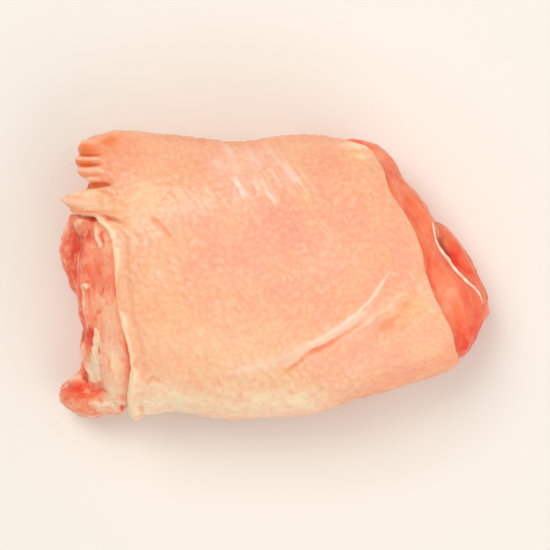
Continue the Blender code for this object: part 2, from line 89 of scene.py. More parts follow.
BELLIES = {
    "left_main": ([(-42.5, 13, 17), (-41, -4, 18), (-39.5, -18, 17), (-38.5, -28, 12)], [5, 6, 6, 4.5]),
    "left_outer": ([(-47, 14, 12), (-47.6, 7, 12.5), (-45.2, -2, 12), (-42, -9, 12)], [4.2, 4.8, 4.4, 3]),
    "left_inner": ([(-44.5, 9.5, 18), (-43, 2, 20), (-41.5, -5, 20)], [2.6, 3.2, 2.2]),
    "left_low": ([(-41, -8, 9), (-42.6, -15, 10), (-44.2, -22, 9)], [3.4, 4.6, 3.6]),
    "left_corner": ([(-52.6, -30.2, 4.8), (-48.5, -29.6, 6.2), (-42, -28.8, 8.6), (-36, -27, 11),
        (-30, -25, 12)], [5, 5.8, 6.2, 6.4, 6]),
    "left_fold": ([(-48.4, 14.8, 17.2), (-47.6, 12.2, 18), (-45.6, 10.8, 19.2), (-43.4, 11.4, 20)],
        [1.6, 1.8, 1.8, 1.2]),
    "left_fold_a": ([(-49.4, 15, 16.8), (-48.7, 12.6, 17.8), (-47.4, 11, 18.6)], [1.1, 1.4, 0.9]),
    "left_fold_b": ([(-47.4, 14.6, 19.2), (-46.4, 11.8, 20.2), (-45.4, 9.4, 20.2)], [1.1, 1.5, 0.8]),
    "left_fold_c": ([(-45.6, 14.2, 20.4), (-44.6, 12, 21.2), (-43, 10.8, 21.6)], [1, 1.3, 0.8]),
    "left_red": ([(-43.4, 14, 20.6), (-43, 11.6, 21.4), (-43.6, 7, 21.4)], [1.4, 1.5, 1]),
    "left_under_skin": ([(-40, 29, 12), (-39.8, 22, 13.5), (-42.2, 15, 13)], [4, 5.2, 5.4]),
    "left_foot_back": ([(-38, 26, 6), (-41.6, 14, 6), (-43, 4, 6)], [5, 6.2, 5.4]),
    "left_foot_front": ([(-39, 2, 6), (-38.8, -12, 6), (-42.4, -22, 6.2), (-44.4, -29, 6.2)],
        [5, 5.2, 5.8, 5.6]),
    "left_fat": ([(-43.2, -16.5, 14.2), (-43.6, -21, 13.4), (-42.4, -26.5, 12.4)], [1.6, 2.4, 2]),
    "left_fat_upper": ([(-45.6, -1.2, 16.2), (-43.6, -3.6, 17.4), (-41.6, -5, 18.6)], [1.3, 1.9, 1.3]),
    "left_tip": ([(-50.2, 12, 13), (-49.8, 8, 13.5), (-48.4, 3, 13.6)], [1.8, 2.2, 1.6]),
    "left_strand_a": ([(-40.4, -7, 22.2), (-39.8, -15, 21.8), (-39.6, -26, 19)], [1, 1.5, 1.1]),
    "left_strand_b": ([(-38.2, -9, 23.6), (-37.6, -17, 23.2), (-37.2, -27, 20.4)], [1, 1.4, 1.1]),
    "left_strand_c": ([(-42.8, 5, 22), (-41.6, -1, 22.8), (-41.6, -8, 21.6)], [0.9, 1.3, 1]),
    "left_strand_d": ([(-40.6, 6, 23.6), (-39.6, -1, 24.2), (-39.4, -9, 23.4)], [0.8, 1.1, 0.9]),
    "left_sliver": ([(-42.5, 11.4, 22.6), (-41.4, 9.4, 23.6), (-40.4, 6.6, 24.4)], [0.7, 1.2, 0.7]),
    "left_fat_high": ([(-45.4, -18.2, 13.6), (-44.4, -20, 14.6), (-42.4, -20.6, 15.4)], [1.4, 2, 1.5]),
    "left_fat_low": ([(-44.6, -24, 12.8), (-43, -25.6, 13.4), (-41.6, -27, 13.6)], [1.2, 1.9, 1.4]),
    "corner_fat": ([(-44.4, -30.6, 12.2), (-42.2, -31.4, 12.6), (-39.6, -31, 13.2)], [1.2, 1.9, 1.4]),
    "corner_lip": ([(-50.2, -27.2, 8.6), (-46.6, -26.2, 11.8), (-42.4, -27.4, 13.2)], [1.6, 1.9, 1.4]),
    "right_band": ([(11, 29.8, 12), (18.6, 29.8, 13), (22.8, 28, 14), (26.9, 20.8, 16), (33.6, 11.4, 17.4),
        (38, 2, 17)], [2.4, 3.7, 4.7, 5, 5.3, 5.2]),
    "right_lobe": ([(35.5, 4, 14.5), (40.6, -2.4, 15), (44, -8.6, 13.5), (43, -15.4, 11), (39, -19, 10)],
        [5, 6.2, 6.4, 6.2, 5]),
    "right_rim": ([(33, 12, 8), (40, 8.4, 10.5), (45.4, 3.8, 11), (48, -3, 9.5), (47.8, -9.4, 8)],
        [3.8, 4, 4.4, 4.6, 4.2]),
    "right_under": ([(40, -1.6, 8), (46.2, -7, 8), (47.2, -13.4, 7.5), (44.6, -20, 7.2)],
        [5, 5.6, 5.6, 4.8]),
    "right_foot": ([(22, 25, 6), (30, 13.6, 6), (40, 2, 6), (45, -8, 6), (40, -18, 6)],
        [5, 5.6, 5.6, 5.4, 5.2]),
}
SINEW = ([(37.2, 13.4), (37.9, 10.4), (38.5, 7.8), (39.5, 6), (41.2, 3.8), (42.6, 1.8), (44.2, 0),
         (46.2, -1.8), (48.2, -3.4), (49.6, -5.2), (50.4, -7.4)],
         [0.2, 0.36, 0.44, 0.46, 0.48, 0.46, 0.4, 0.4, 0.36, 0.3, 0.15])

# Marks on the flesh, as plan lines with a half width and a strength
FAT_LINES = [
    ([(-42.3, -11.8), (-42.5, -15.5), (-42.6, -20.5)], 0.9, 1.2), ([(-42.6, -20), (-42.4, -26)], 0.9, 1.2),
    ([(-44.3, -20.4), (-44, -26.2)], 1.2, 1.3), ([(-42.5, 11.6), (-41.9, 9.4), (-41.3, 6.4)], 0.6, 1),
    ([(-46.3, 12.8), (-46, 12.2)], 0.8, 0.7), ([(-45.2, -1.8), (-44.2, -3.2)], 1.1, 0.8),
    ([(-45.8, -31), (-39.6, -31.4)], 1.1, 0.6), ([(-41.4, -1), (-40.6, -7)], 0.5, 0.5),
    ([(-38.4, -12), (-37.8, -27)], 0.5, 0.5), ([(-39.8, -14), (-39.4, -28)], 0.4, 0.5),
]
# Red marks: partly the flesh's own redder spots, partly painted shade in creases and hollows and along the
# skin's right edge
RED_LINES = [
    ([(-44.2, -12.4), (-44.4, -17)], 1.2, 1.3), ([(-45, -28), (-40.6, -28.2)], 0.8, 0.6),
    ([(-43.8, 13.4), (-42.2, 12.6)], 1.1, 0.8), ([(-40.9, 11), (-40.3, 7.4)], 0.45, 0.8),
    ([(-36.6, -33.6), (-36.4, -31.4)], 0.9, 1), ([(-51, -27.4), (-46.6, -27)], 1.8, 0.6),
    ([(36.6, 5), (36.4, 0.6), (38, -4)], 0.8, 0.6), ([(-42, 3), (-41.6, -0.6)], 0.7, 0.5),
    ([(-43.2, -9), (-42.6, -11)], 0.7, 0.4), ([(-49, 12), (-48.3, 8), (-47.9, 4)], 1.7, 0.5),
    ([(42.6, 4.4), (45, 2.2), (47.6, 0)], 1.1, 0.6),
]
# Painted shade in the darkest crevices, which are also cut a little deeper
DARK_SHADE_LINES = [
    ([(-45.9, -22.8), (-46, -26.2)], 0.5, 0.7), ([(-46.4, -13), (-46.4, -16.8)], 0.9, 0.6),
    ([(-44.1, -13.4), (-44.2, -15.6)], 0.6, 0.5),
    ([(38.9, 9.4), (39.9, 7), (41.8, 4.6), (43.2, 3)], 0.8, 0.85),
]

# Folds in the skin, as plan lines with the height of the ridge and its half width
FOLDS = [
    ([(33, 1), (25.9, -6.3), (16, -12), (6.1, -16.6), (-5, -20.5), (-15, -23.5)], 0.5, 2.3),
    ([(31, -7.5), (25, -11.6), (15.4, -16.6), (4, -20.6)], -0.28, 1.8),
    ([(34.4, 1.6), (32.2, -2), (30.4, -6), (31.4, -10)], -0.22, 0.8),
    ([(37, -6), (34, -9.6), (28.6, -13.6), (22, -16.4)], 0.2, 0.9),
    ([(38.5, -10.4), (35, -14), (29.6, -17.6)], -0.16, 0.7),
    ([(-37.4, 13.4), (-33.6, 10.2), (-30.2, 6.6)], -0.16, 0.5),
    ([(-28.8, 13.8), (-26.4, 11.4), (-23.2, 8)], -0.24, 0.45),
    ([(-40.6, 19.8), (-37.4, 17.4), (-34.2, 15.9)], -0.2, 0.4),
    ([(-41.6, 27.6), (-38.6, 24.6), (-36.6, 21.4)], -0.2, 0.4),
    ([(-39.6, 29.8), (-36.4, 26.6), (-33.4, 24.4)], -0.16, 0.45),
    ([(-41.8, 22.6), (-39, 20.9), (-36.8, 20.2)], -0.22, 0.35),
    ([(-25, 1.5), (-20.4, -2.4), (-16, -4.6)], -0.1, 0.6), ([(10, -2), (17, -6.4), (23, -7.4)], -0.12, 0.7),
    ([(27.1, 1.7), (24.7, -2.2), (22.3, -5.5), (20.9, -7.9), (18, -9.8), (14.6, -12.2), (10.8, -14.6),
     (6, -17.5), (2.6, -20.2), (-1.5, -22.2)], 0.34, 0.55),
    ([(31, -3), (26, -7.2), (20.9, -10.4), (15.2, -13.2)], 0.26, 0.6),
    ([(18, -11.4), (13.2, -14.6), (8.9, -16.9), (5.5, -19), (1.2, -22.8)], -0.24, 0.5),
    ([(32.4, -5.9), (29.5, -7.6), (27.1, -10.5), (24.7, -12), (22.8, -13.4)], -0.13, 0.8),
    ([(33.4, -7.6), (30.4, -9.6), (27.6, -12.6), (24, -15)], 0.16, 0.7),
    ([(9, 33.4), (14, 32.2), (18, 31.2), (23.4, 29.2)], 0.4, 0.6),
    ([(12, 32.2), (18, 30.4), (22, 28.6)], -0.3, 0.7),
    ([(-30.3, -24.4), (-28.4, -23.1), (-26, -23.3)], -0.55, 0.6),
    ([(-30.6, -25.2), (-28.2, -24.4), (-25.6, -24.6)], 0.12, 0.5),
    ([(-11.6, 24), (-9.4, 20.8), (-7.8, 17.6)], -0.2, 0.45),
    ([(-7.6, 24), (-5.6, 20.2), (-3.4, 16.8)], -0.2, 0.45),
    ([(-3.4, 24), (-1.6, 20.6), (0.6, 17.4)], -0.2, 0.4),
    ([(0.6, 24.4), (2.4, 21.8), (4.4, 19.2)], -0.16, 0.4),
]
# y, height and half width of each pleat that runs in from the left edge
PLEATS = [
    (31.4, -0.4, 0.4), (30, 0.5, 0.8), (28.5, -0.4, 0.35), (27.7, -0.8, 0.4), (26.6, 0.7, 0.6),
    (25.5, -0.85, 0.45), (24.3, 0.6, 0.7), (23, -0.35, 0.35), (22, 0.35, 0.45), (20.9, -0.9, 0.7),
    (19.2, 0.5, 0.7), (17.2, 0.5, 1.2), (15, -0.35, 0.6), (13.2, -0.6, 0.8),
]
PLEAT_REACH = 8.0
# Pale raised streaks on the skin, as plan lines with a half width and a strength. Along the long fold's ridge
# their pale colour is painted highlight.
STREAKS = [
    ([(-13.9, 31.4), (-12.2, 29.2), (-9.8, 26.4)], 0.78, 0.5),
    ([(-15, 25.6), (-13, 24.4), (-11.2, 22.6)], 0.78, 0.37),
    ([(-9.8, 21.8), (-8.4, 19.6), (-6.8, 17)], 0.72, 0.62),
    ([(-4.8, 22.4), (-4.4, 20.4), (-3.6, 18.4)], 0.52, 0.43),
    ([(-3.8, 21.6), (-1.6, 18.6), (0.4, 15.6)], 0.59, 0.62),
    ([(-1.6, 23.6), (0.2, 21.8), (2.2, 19.2)], 0.52, 0.43),
    ([(1.8, 25), (3.6, 23), (5.6, 20.6)], 0.91, 0.5),
    ([(-7.6, 29.6), (-5.6, 26.6), (-3.2, 23.6)], 0.65, 0.31),
    ([(-3.2, 30), (-1, 27), (1.2, 24.4)], 0.65, 0.31),
    ([(-6.6, 16.2), (-4.6, 12.8), (-2.8, 10.4)], 0.52, 0.31),
    ([(10.6, 32.9), (14, 32.1), (17.4, 31.3), (20.4, 30.4), (22.8, 29.2)], 0.6, 1),
    ([(23.8, 30), (23.2, 29), (22.6, 27.8)], 0.75, 1.2),
    ([(26.8, 1.4), (24.2, -2.2), (21.6, -5.6), (18.4, -8.9), (14.4, -11.6), (9.8, -14.2),
     (4.6, -16.8)], 0.4, 0.7), ([(4.6, -16.8), (-1, -19.2), (-8, -21.4), (-14, -22.8)], 0.8, 0.3),
    ([(17.4, 29.2), (19.6, 28.7), (21.8, 28)], 0.6, 0.6),
]

# Painted orange shade along the skin's creases and in the pleats of the top left flap, as plan lines with a
# half width and a strength
ORANGE_SHADE_LINES = [
    ([(1.2, -22.8), (5.5, -19), (8.9, -17), (13.2, -14.9), (18, -11.6), (20.9, -9.8)], 0.6, 0.7),
    ([(8.4, -17), (10.8, -16), (13.6, -14.9)], 0.7, 0.7), ([(7.4, -14.3), (8.6, -14.1)], 0.6, 0.5),
    ([(22.8, -13.2), (24.7, -11.8), (27.1, -10.3), (29.5, -7.4), (32.4, -5.5)], 1, 0.35),
    ([(-30.3, -24.6), (-28.4, -23.4), (-26, -23.6)], 0.4, 0.5), ([(-47, 28.2), (-41.6, 28.1)], 0.7, 1.2),
    ([(-46.8, 25.5), (-41.8, 25.4)], 0.5, 1), ([(-47.2, 31.8), (-42, 32), (-38, 32.2)], 0.7, 1),
    ([(-47, 30.4), (-40, 30.2)], 1.3, 0.35), ([(-41.6, 26.8), (-40.9, 26.7)], 0.5, 1),
    ([(-40.7, 22.2), (-38.6, 21.8), (-36.7, 21)], 0.4, 0.7), ([(-40.7, 24.4), (-37.3, 23.2)], 0.35, 0.6),
    ([(-41, 19.6), (-37, 18.2)], 0.35, 0.6), ([(-50.4, 16.4), (-48, 14.4), (-44, 13.8)], 0.7, 0.8),
    ([(-28.8, 13.8), (-26.4, 11.4), (-23.2, 8)], 0.45, 0.6), ([(-44, 20.6), (-41, 20.2)], 0.6, 0.6),
]

# The skin's relief. A groove or roll is a height, a distance from the edge and a half width.
GROOVE, LEFT_ROLL, RIGHT_ROLL = (0.3, 3.4, 0.7), (0.6, 1.3, 0.9), (0.2, 1.2, 1.0)
EDGE_ROUND, THINNEST, RIM_WIDTH = 1.5, 0.9, 2.1
LEFT_BLUR, RIGHT_BLUR = 0.22, 0.8
TONGUE_SWELL, TONGUE_LIFT, STREAK_HEIGHT = 0.7, 1.2, 0.24
WRINKLE_TURN = math.radians(-52)
WRINKLE_SIZE, FAN_SIZE = (13.0, 1.25, 1.0), (9.0, 0.95, 1.0)
PORE_SPACING, PORE_JITTER, PORE_SIZE, PIT_SIZE, PORE_HEIGHT = 2.15, 0.42, 0.74, 0.22, 0.15

# The flesh's relief
FIBRE_SIZE, STRAND_SIZE, LUMP_SIZE = (12.0, 1.5, 1.0), (26.0, 4.2, 1.0), 4.5
FAT_RISE, RED_DEPTH, DARK_DEPTH = 0.3, 0.25, 0.45
HOLLOW_FULL = 0.4
OWN_GRAIN = 2.3  # a belly thinner than this takes its neighbour's grain
FLOOR_GAP = 0.35  # least height of a belly's surface

# Size of the meshes
FLAP = (13.6, 31.0)  # girths between which the skin's rows lie closer together
SKIN_ROWS, SKIN_COLUMNS = (178, 80, 54), 290
INNER_STEP = 6  # the skin's hidden side has one point for this many of the outer side's
CORE_SIDES = 180
VOXEL = 0.5


def linear(colour):
    """Linear RGBA from a hexadecimal sRGB colour."""
    parts = [int(colour[i:i + 2], 16) / 255 for i in (1, 3, 5)]
    return (*((v / 12.92 if v <= 0.04045 else ((v + 0.055) / 1.055) ** 2.4) for v in parts), 1.0)


def curve_at(table, x):
    """Smooth value at x of a table of (x, value) points: a cubic through them, level beyond its ends."""
    xs, ys = np.array(sorted(table), float).T
    slopes = np.gradient(ys, xs)
    slopes[0] = slopes[-1] = 0.0
    x = np.clip(x, xs[0], xs[-1])
    i = np.clip(np.searchsorted(xs, x) - 1, 0, len(xs) - 2)
    span = xs[i + 1] - xs[i]
    t = (x - xs[i]) / span
    from_left = ys[i] * (1 + 2 * t) + slopes[i] * span * t
    from_right = ys[i + 1] * (3 - 2 * t) - slopes[i + 1] * span * (1 - t)
    return from_left * (1 - t) ** 2 + from_right * t**2


def ramp(low, high, value):
    """0 below low, 1 above high, and smooth in between."""
    t = np.clip((value - low) / (high - low), 0.0, 1.0)
    return t * t * (3 - 2 * t)


def bell(value, middle, half_width):
    """1 at the middle, falling off smoothly on both sides."""
    return np.exp(-(((value - middle) / half_width) ** 2))


def flat(x, y):
    """Points at x and y with no height."""
    return np.stack([x, y, np.zeros_like(x)], axis=-1)


def power(value, exponent):
    """A power that keeps its sign, for superellipses."""
    return np.sign(value) * np.abs(value) ** exponent


def section(x):
    """Middle, half width, waist and crown of the bare loaf's cross-section at x."""
    back, front = curve_at(BACK_SIDE, x), curve_at(FRONT_SIDE, x)
    crown = HEIGHT * curve_at(CROWN, x)
    return (back + front) / 2, (back - front) / 2 - COVER, WAIST * crown, crown - COVER


def on_section(angle, half_width, waist, crown):
    """Offset from the middle and height on a cross-section: 0 is the front, a quarter turn the crown."""
    rise, across = np.sin(angle), np.cos(angle)
    top = waist + (crown - waist) * power(np.maximum(rise, 0), 2 / TOP_POWER)
    foot = waist * (1 - FOOT_DROP * power(np.maximum(-rise, 0), 2 / FOOT_POWER))
    side = np.where(rise >= 0, power(across, 2 / TOP_POWER), power(across, 2 / FOOT_POWER))
    return -half_width * side, np.where(rise >= 0, top, np.maximum(foot, 0.0))


def girth_table():
    """Angles round the mean cross-section, and the girth of each: its arc length from the crown."""
    angles = np.linspace(-0.5 * math.pi, 1.5 * math.pi, 4001)
    y, z = on_section(angles, MEAN_HALF_WIDTH, WAIST * MEAN_CROWN, MEAN_CROWN)
    length = np.concatenate([[0], np.cumsum(np.hypot(np.diff(y), np.diff(z)))])
    return angles, length - length[2000]


ANGLES, GIRTHS = girth_table()


def loaf(x, girth):
    """Points of the bare loaf's surface, for arrays of x and girth."""
    middle, half_width, waist, crown = section(x)
    y, z = on_section(np.interp(girth, GIRTHS, ANGLES), half_width, waist, crown)
    return np.stack([x, middle + y, z], axis=-1)


def loaf_normal(x, girth):
    """Outward normals of the bare loaf."""
    step = 0.6
    along = loaf(x + step, girth) - loaf(x - step, girth)
    round_it = loaf(x, girth + step) - loaf(x, girth - step)
    normal = np.cross(along, round_it)
    return normal / np.linalg.norm(normal, axis=-1, keepdims=True)


def girth_of(x, y, z=None):
    """Girth of a plan point on the loaf's top, or of any point seen from the section's middle, and how
    far out the point is, where 1 is on the loaf."""
    middle, half_width, waist, crown = section(x)
    across = (middle - y) / half_width
    if z is None:
        side = np.clip(across, -0.999, 0.999)
        return np.interp(np.arccos(power(side, TOP_POWER / 2)), ANGLES, GIRTHS), 1.0
    up = (z - waist) / np.where(z >= waist, crown - waist, waist)
    exponent = np.where(z >= waist, TOP_POWER, FOOT_POWER)
    out = (np.abs(across) ** exponent + np.abs(up) ** exponent) ** (1 / exponent) + 1e-9
    rise, side = power(up / out, exponent / 2), power(across / out, exponent / 2)
    angle = np.arctan2(rise, side)
    angle = np.where(angle < -0.5 * math.pi, angle + 2 * math.pi, angle)
    return np.interp(angle, ANGLES, GIRTHS), out


def edge_by_girth(points, sides):
    """A skin edge as a table of (girth, x)."""
    top = [(float(girth_of(x, y)[0]), x) for x, y in points]
    return sorted(sides["front"] + top + sides["back"])


LEFT_BY_GIRTH = edge_by_girth(LEFT_EDGE, LEFT_SIDES)
RIGHT_BY_GIRTH = edge_by_girth(RIGHT_EDGE, RIGHT_SIDES)


def edge_at(table, girth):
    """Where a skin edge lies, as x at a girth."""
    return np.interp(girth, *np.array(table, float).T)


def smoothed_edge(table, girths, blur):
    """A skin edge with its corners rounded over a distance."""
    offsets = np.linspace(-2, 2, 9)
    weights = np.exp(-offsets**2)
    total = sum(w * edge_at(table, girths + blur * o) for w, o in zip(weights, offsets))
    return total / weights.sum()


def distance_to_line(points, line):
    """Distance from points to a polyline, and how far along it, from 0 to 1, the nearest point is."""
    points, ends = np.asarray(points, float), np.array(line, float)
    best, along = np.full(points.shape[:-1], 1e9), np.zeros(points.shape[:-1])
    spans = np.linalg.norm(np.diff(ends, axis=0), axis=1)
    start = np.concatenate([[0], np.cumsum(spans)])
    for i, span in enumerate(spans):
        direction = (ends[i + 1] - ends[i]) / span
        t = np.clip((points - ends[i]) @ direction, 0, span)
        near = np.linalg.norm(points - ends[i] - t[..., None] * direction, axis=-1)
        along = np.where(near < best, (start[i] + t) / start[-1], along)
        best = np.minimum(near, best)
    return best, along


def line_mark(points, lines):
    """The sum of soft marks along lines: each is a polyline, a half width and a strength."""
    total = 0.0
    for line, half_width, strength in lines:
        away, along = distance_to_line(points, line)
        fade = ramp(0, 0.15, along) * ramp(0, 0.15, 1 - along)
        total = total + strength * bell(away, 0, half_width) * (0.3 + 0.7 * fade)
    return total


def lattice(cells, seed):
    """A scattered value from -1 to 1 for each whole-numbered cell."""
    i, j, k = (cells[..., n].astype(np.int64) for n in range(3))
    h = (i * 374761393 + j * 668265263 + k * 1274126177 + seed * 974634777) & 0xFFFFFFFF
    h = ((h ^ (h >> 13)) * 1103515245) & 0xFFFFFFFF
    h = ((h ^ (h >> 15)) * 668265263) & 0xFFFFFFFF
    return ((h >> 8) & 0xFFFF) / 32767.5 - 1.0


def noise(points, size, seed=0):
    """Smooth noise from -1 to 1 at the points, with features of the size given, one or three numbers."""
    place = points / np.asarray(size, float)
    cell = np.floor(place)
    t = place - cell
    t = t * t * t * (t * (t * 6 - 15) + 10)
    total = 0.0
    for corner in np.ndindex(2, 2, 2):
        weight = 1.0
        for axis, bit in enumerate(corner):
            weight = weight * (t[..., axis] if bit else 1 - t[..., axis])
        total = total + weight * lattice(cell + np.array(corner), seed)
    return total


def layered(points, size, seed=0, octaves=3):
    """Noise with finer and fainter layers added."""
    size, total, strength = np.asarray(size, float), 0.0, 1.0
    for n in range(octaves):
        total = total + strength * noise(points, size / 2**n, seed + 31 * n)
        strength *= 0.5
    return total


def wandering(points, size, seed):
    """Two noises, to shift plan points by."""
    return np.stack([noise(points, size, seed), noise(points, size, seed + 2)], axis=-1)


def dots(x, y, spacing, jitter, seed):
    """Distance to the nearest dot of an uneven staggered grid, and that dot's own value, -1 to 1."""
    row_height = spacing * math.sqrt(3) / 2
    row = np.floor(y / row_height)
    best, value = np.full(x.shape, 1e9), np.zeros(x.shape)
    for dr in (-1, 0, 1):
        r = row + dr
        stagger = 0.5 * spacing * (r % 2)
        column = np.floor((x - stagger) / spacing)
        for dc in (-1, 0, 1):
            c = column + dc
            cells = flat(c, r)
            px = (c + 0.5) * spacing + stagger + jitter * spacing * lattice(cells, seed)
            py = (r + 0.5) * row_height + jitter * spacing * lattice(cells, seed + 7)
            near = np.hypot(x - px, y - py)
            value = np.where(near < best, lattice(cells, seed + 13), value)
            best = np.minimum(near, best)
    return best, value


def mesh_object(name, points, faces):
    """An object from points in millimetres."""
    mesh = bpy.data.meshes.new(name)
    mesh.from_pydata([tuple(p) for p in points * MM], [], faces)
    mesh.update()
    mesh.shade_smooth()
    made = bpy.data.objects.new(name, mesh)
    bpy.context.scene.collection.objects.link(made)
    return made


def store(mesh, name, values):
    """Keeps a value, or a vector, for each point of a mesh, for its material to read."""
    values = np.asarray(values, np.float32)
    kind = "FLOAT_VECTOR" if values.ndim == 2 else "FLOAT"
    layer = mesh.attributes.new(name, kind, "POINT")
    layer.data.foreach_set("vector" if values.ndim == 2 else "value", values.ravel())


# The skin

def skin_grid():
    """The skin's points as x and girth, each one's distance from the left, the right and the hem, and how
    much wider or narrower than usual the left rim is."""
    before, on, past = SKIN_ROWS
    girths = np.concatenate([
        np.linspace(HEM_FRONT, FLAP[0], before)[:-1],
        np.linspace(*FLAP, on)[:-1],
        np.linspace(FLAP[1], HEM_BACK, past),
    ])
    girth, share = np.meshgrid(girths, np.linspace(0.0, 1.0, SKIN_COLUMNS), indexing="ij")
    line = flat(np.zeros_like(girths), girths)
    on_flap = ramp(9, 14, girths) * ramp(36, 32, girths)
    ragged = (0.08 + 0.3 * on_flap) * layered(line, 1.7, 3) + 0.15 * noise(line, 9.0, 5)
    left = smoothed_edge(LEFT_BY_GIRTH, girths, LEFT_BLUR) + ragged
    right = smoothed_edge(RIGHT_BY_GIRTH, girths, RIGHT_BLUR) + 0.18 * layered(line, 4.0, 11)
    left, right = left[:, None], right[:, None]
    x = left + (right - left) * share
    from_hem = np.minimum(girth - HEM_FRONT, HEM_BACK - girth)
    wave = HEM_WAVE * np.sin(0.21 * x + np.sign(girth)) + 0.8 * layered(flat(x, 40 * np.sign(girth)), 6.0, 17)
    rim_wide = 1 + 0.35 * layered(line, 3.4, 81, 2)[:, None]
    return x, girth + np.exp(-from_hem / HEM_REACH) * wave, x - left, right - x, from_hem, rim_wide


def fine_relief(x, y, girth, from_left, on_top):
    """The height of the skin's wrinkles and pores, and how much each point is a pore."""
    sheet = flat(x, girth)
    across = -math.sin(WRINKLE_TURN) * x + math.cos(WRINKLE_TURN) * y
    down = math.cos(WRINKLE_TURN) * x + math.sin(WRINKLE_TURN) * y
    wrinkles = noise(flat(down, across + 1.2 * noise(sheet, 14.0, 51)), WRINKLE_SIZE, 53)
    wrinkled = 0.25 + bell(x, -3, 11) * bell(y, 22, 9)
    fan = noise(flat(x, y + 0.6 * noise(sheet, 7.0, 57)), FAN_SIZE, 59)
    fan_reach = np.exp(-from_left / 6.0) * ramp(8, 14, y)
    fine = wrinkled * (0.36 * np.abs(wrinkles) - 0.1) + 0.3 * fan * fan_reach * on_top

    # Pores: low domes with a pit in the middle of each
    moved_x, moved_girth = x + 0.8 * noise(sheet, 4.0, 61), girth + 0.8 * noise(sheet, 4.0, 63)
    near, own = dots(moved_x, moved_girth, PORE_SPACING, PORE_JITTER, 67)
    dome, pit = bell(near, 0, PORE_SIZE + 0.18 * own), bell(near, 0, PIT_SIZE)
    height = PORE_HEIGHT * (1 + 0.7 * noise(sheet, 11.0, 69)) * (1.8 - 0.8 * on_top) * (1 + 0.5 * own)
    return fine + height * (dome - 0.6 * pit), dome - 0.8 * pit


def skin_sheet():
    """The outer grid of the skin in millimetres, the inner one, and what its material needs."""
    x, girth, from_left, from_right, from_hem, rim_wide = skin_grid()
    base, normal = loaf(x, girth), loaf_normal(x, girth)
    plan, y, up = base[..., :2], base[..., 1], normal[..., 2]
    on_top, seen = ramp(0.2, 0.8, up), ramp(0.05, 0.4, up)
    sheet = flat(x, girth)
    wander = 0.45 * wandering(sheet, 3.6, 45) + 0.2 * wandering(sheet, 1.6, 46)

    # Broad swells, then the folds, the pleats, the streaks and the groove behind the left rim
    swell_top = 0.35 * np.sin(0.16 * x + 0.09 * y + 1.1) + 0.3 * np.sin(0.11 * x - 0.21 * y)
    swell_side = 0.5 * np.sin(0.13 * x + 0.6) + 0.3 * np.sin(0.31 * x + np.sign(y))
    swell = swell_side + (swell_top - swell_side) * on_top
    relief = 0.22 * layered(sheet, 9.0, 41, 2)
    for fold_line, height, half_width in FOLDS:
        away, along = distance_to_line(plan + wander, fold_line)
        fade = ramp(0, 0.2, along) * ramp(0, 0.25, 1 - along)
        relief = relief + height * seen * fade * bell(away, 0, half_width)
    bent = y - 0.3 * np.sin(0.6 * x) + 0.12 * from_left
    pleats = sum(height * bell(bent, middle, half_width) for middle, height, half_width in PLEATS)
    reach = ramp(PLEAT_REACH, 0.3 * PLEAT_REACH, from_left) * ramp(-0.4, 1.4, from_left)
    pleats = pleats * ramp(0.05, 0.5, up) * reach
    streak = line_mark(plan + 0.5 * wander, STREAKS) * seen
    # Painted orange shade along creases and pleats
    orange_shade = line_mark(plan + 0.5 * wander, ORANGE_SHADE_LINES) * seen
    depth, middle, half_width = GROOVE
    groove = depth * bell(from_left, middle, half_width) * ramp(14, 8, y) * rim_wide
    relief = relief + pleats + STREAK_HEIGHT * streak - groove
    fine, pore = fine_relief(x, y, girth, from_left, on_top)

    # Rolled edges, and the swelling of the long tongue
    rim_shown = 1 - 0.5 * bell(y, -3.5, 4.5)
    height, middle, half_width = LEFT_ROLL
    roll = height * rim_shown * bell(from_left, middle * rim_wide, half_width) * ramp(16, 9, y)
    height, middle, half_width = RIGHT_ROLL
    roll = roll + height * bell(from_right, middle, half_width)
    roll = roll + TONGUE_SWELL * bell(y, 17.0, 2.2) * bell(x, -46.5, 4.0)
    to_edge = np.minimum(np.minimum(from_left, from_right), from_hem + 0.6)
    rounded = np.sqrt(1 - (1 - np.clip(to_edge / EDGE_ROUND, 0, 1)) ** 2)
    thick = np.maximum(SKIN_THICK + swell + relief + fine + roll, THINNEST) * (0.12 + 0.88 * rounded)
    lift = SKIN_GAP - 0.5 * np.exp(-to_edge / 1.2) + TONGUE_LIFT * ramp(-41, -50, x) * on_top
    inner = base + normal * lift[..., None]
    outer = inner + normal * thick[..., None]
    rim = np.exp(-((np.maximum(from_left, 0) / (RIM_WIDTH * rim_shown * rim_wide)) ** 4))
    values = {
        "sheet": sheet,
        # crease is above 0 in the skin's hollows, where it gives painted shade, and below 0 on its ridges,
        # where it gives painted highlight
        "crease": np.clip(-1.2 * relief - 1.5 * fine, -1, 1),
        "pore": pore,
        "rim": rim * ramp(17, 12, y),
        "edge": np.exp(-np.maximum(np.minimum(from_left, from_right), 0) / 1.2),
        # pleat is the pleats' height, which gives painted shade in their valleys and painted highlight on
        # their ridges
        "pleat": np.clip(pleats, -1, 1),
        "streak": np.clip(streak, 0, 1),
        "orange_shade": np.clip(orange_shade, 0, 1),
    }
    return outer, inner, values


def quads_of(index, turned=False):
    """The faces of a grid of point numbers."""
    corners = [index[:-1, :-1], index[:-1, 1:], index[1:, 1:], index[1:, :-1]]
    if turned:
        corners[1], corners[3] = corners[3], corners[1]
    return np.stack([corner.ravel() for corner in corners], axis=-1).tolist()


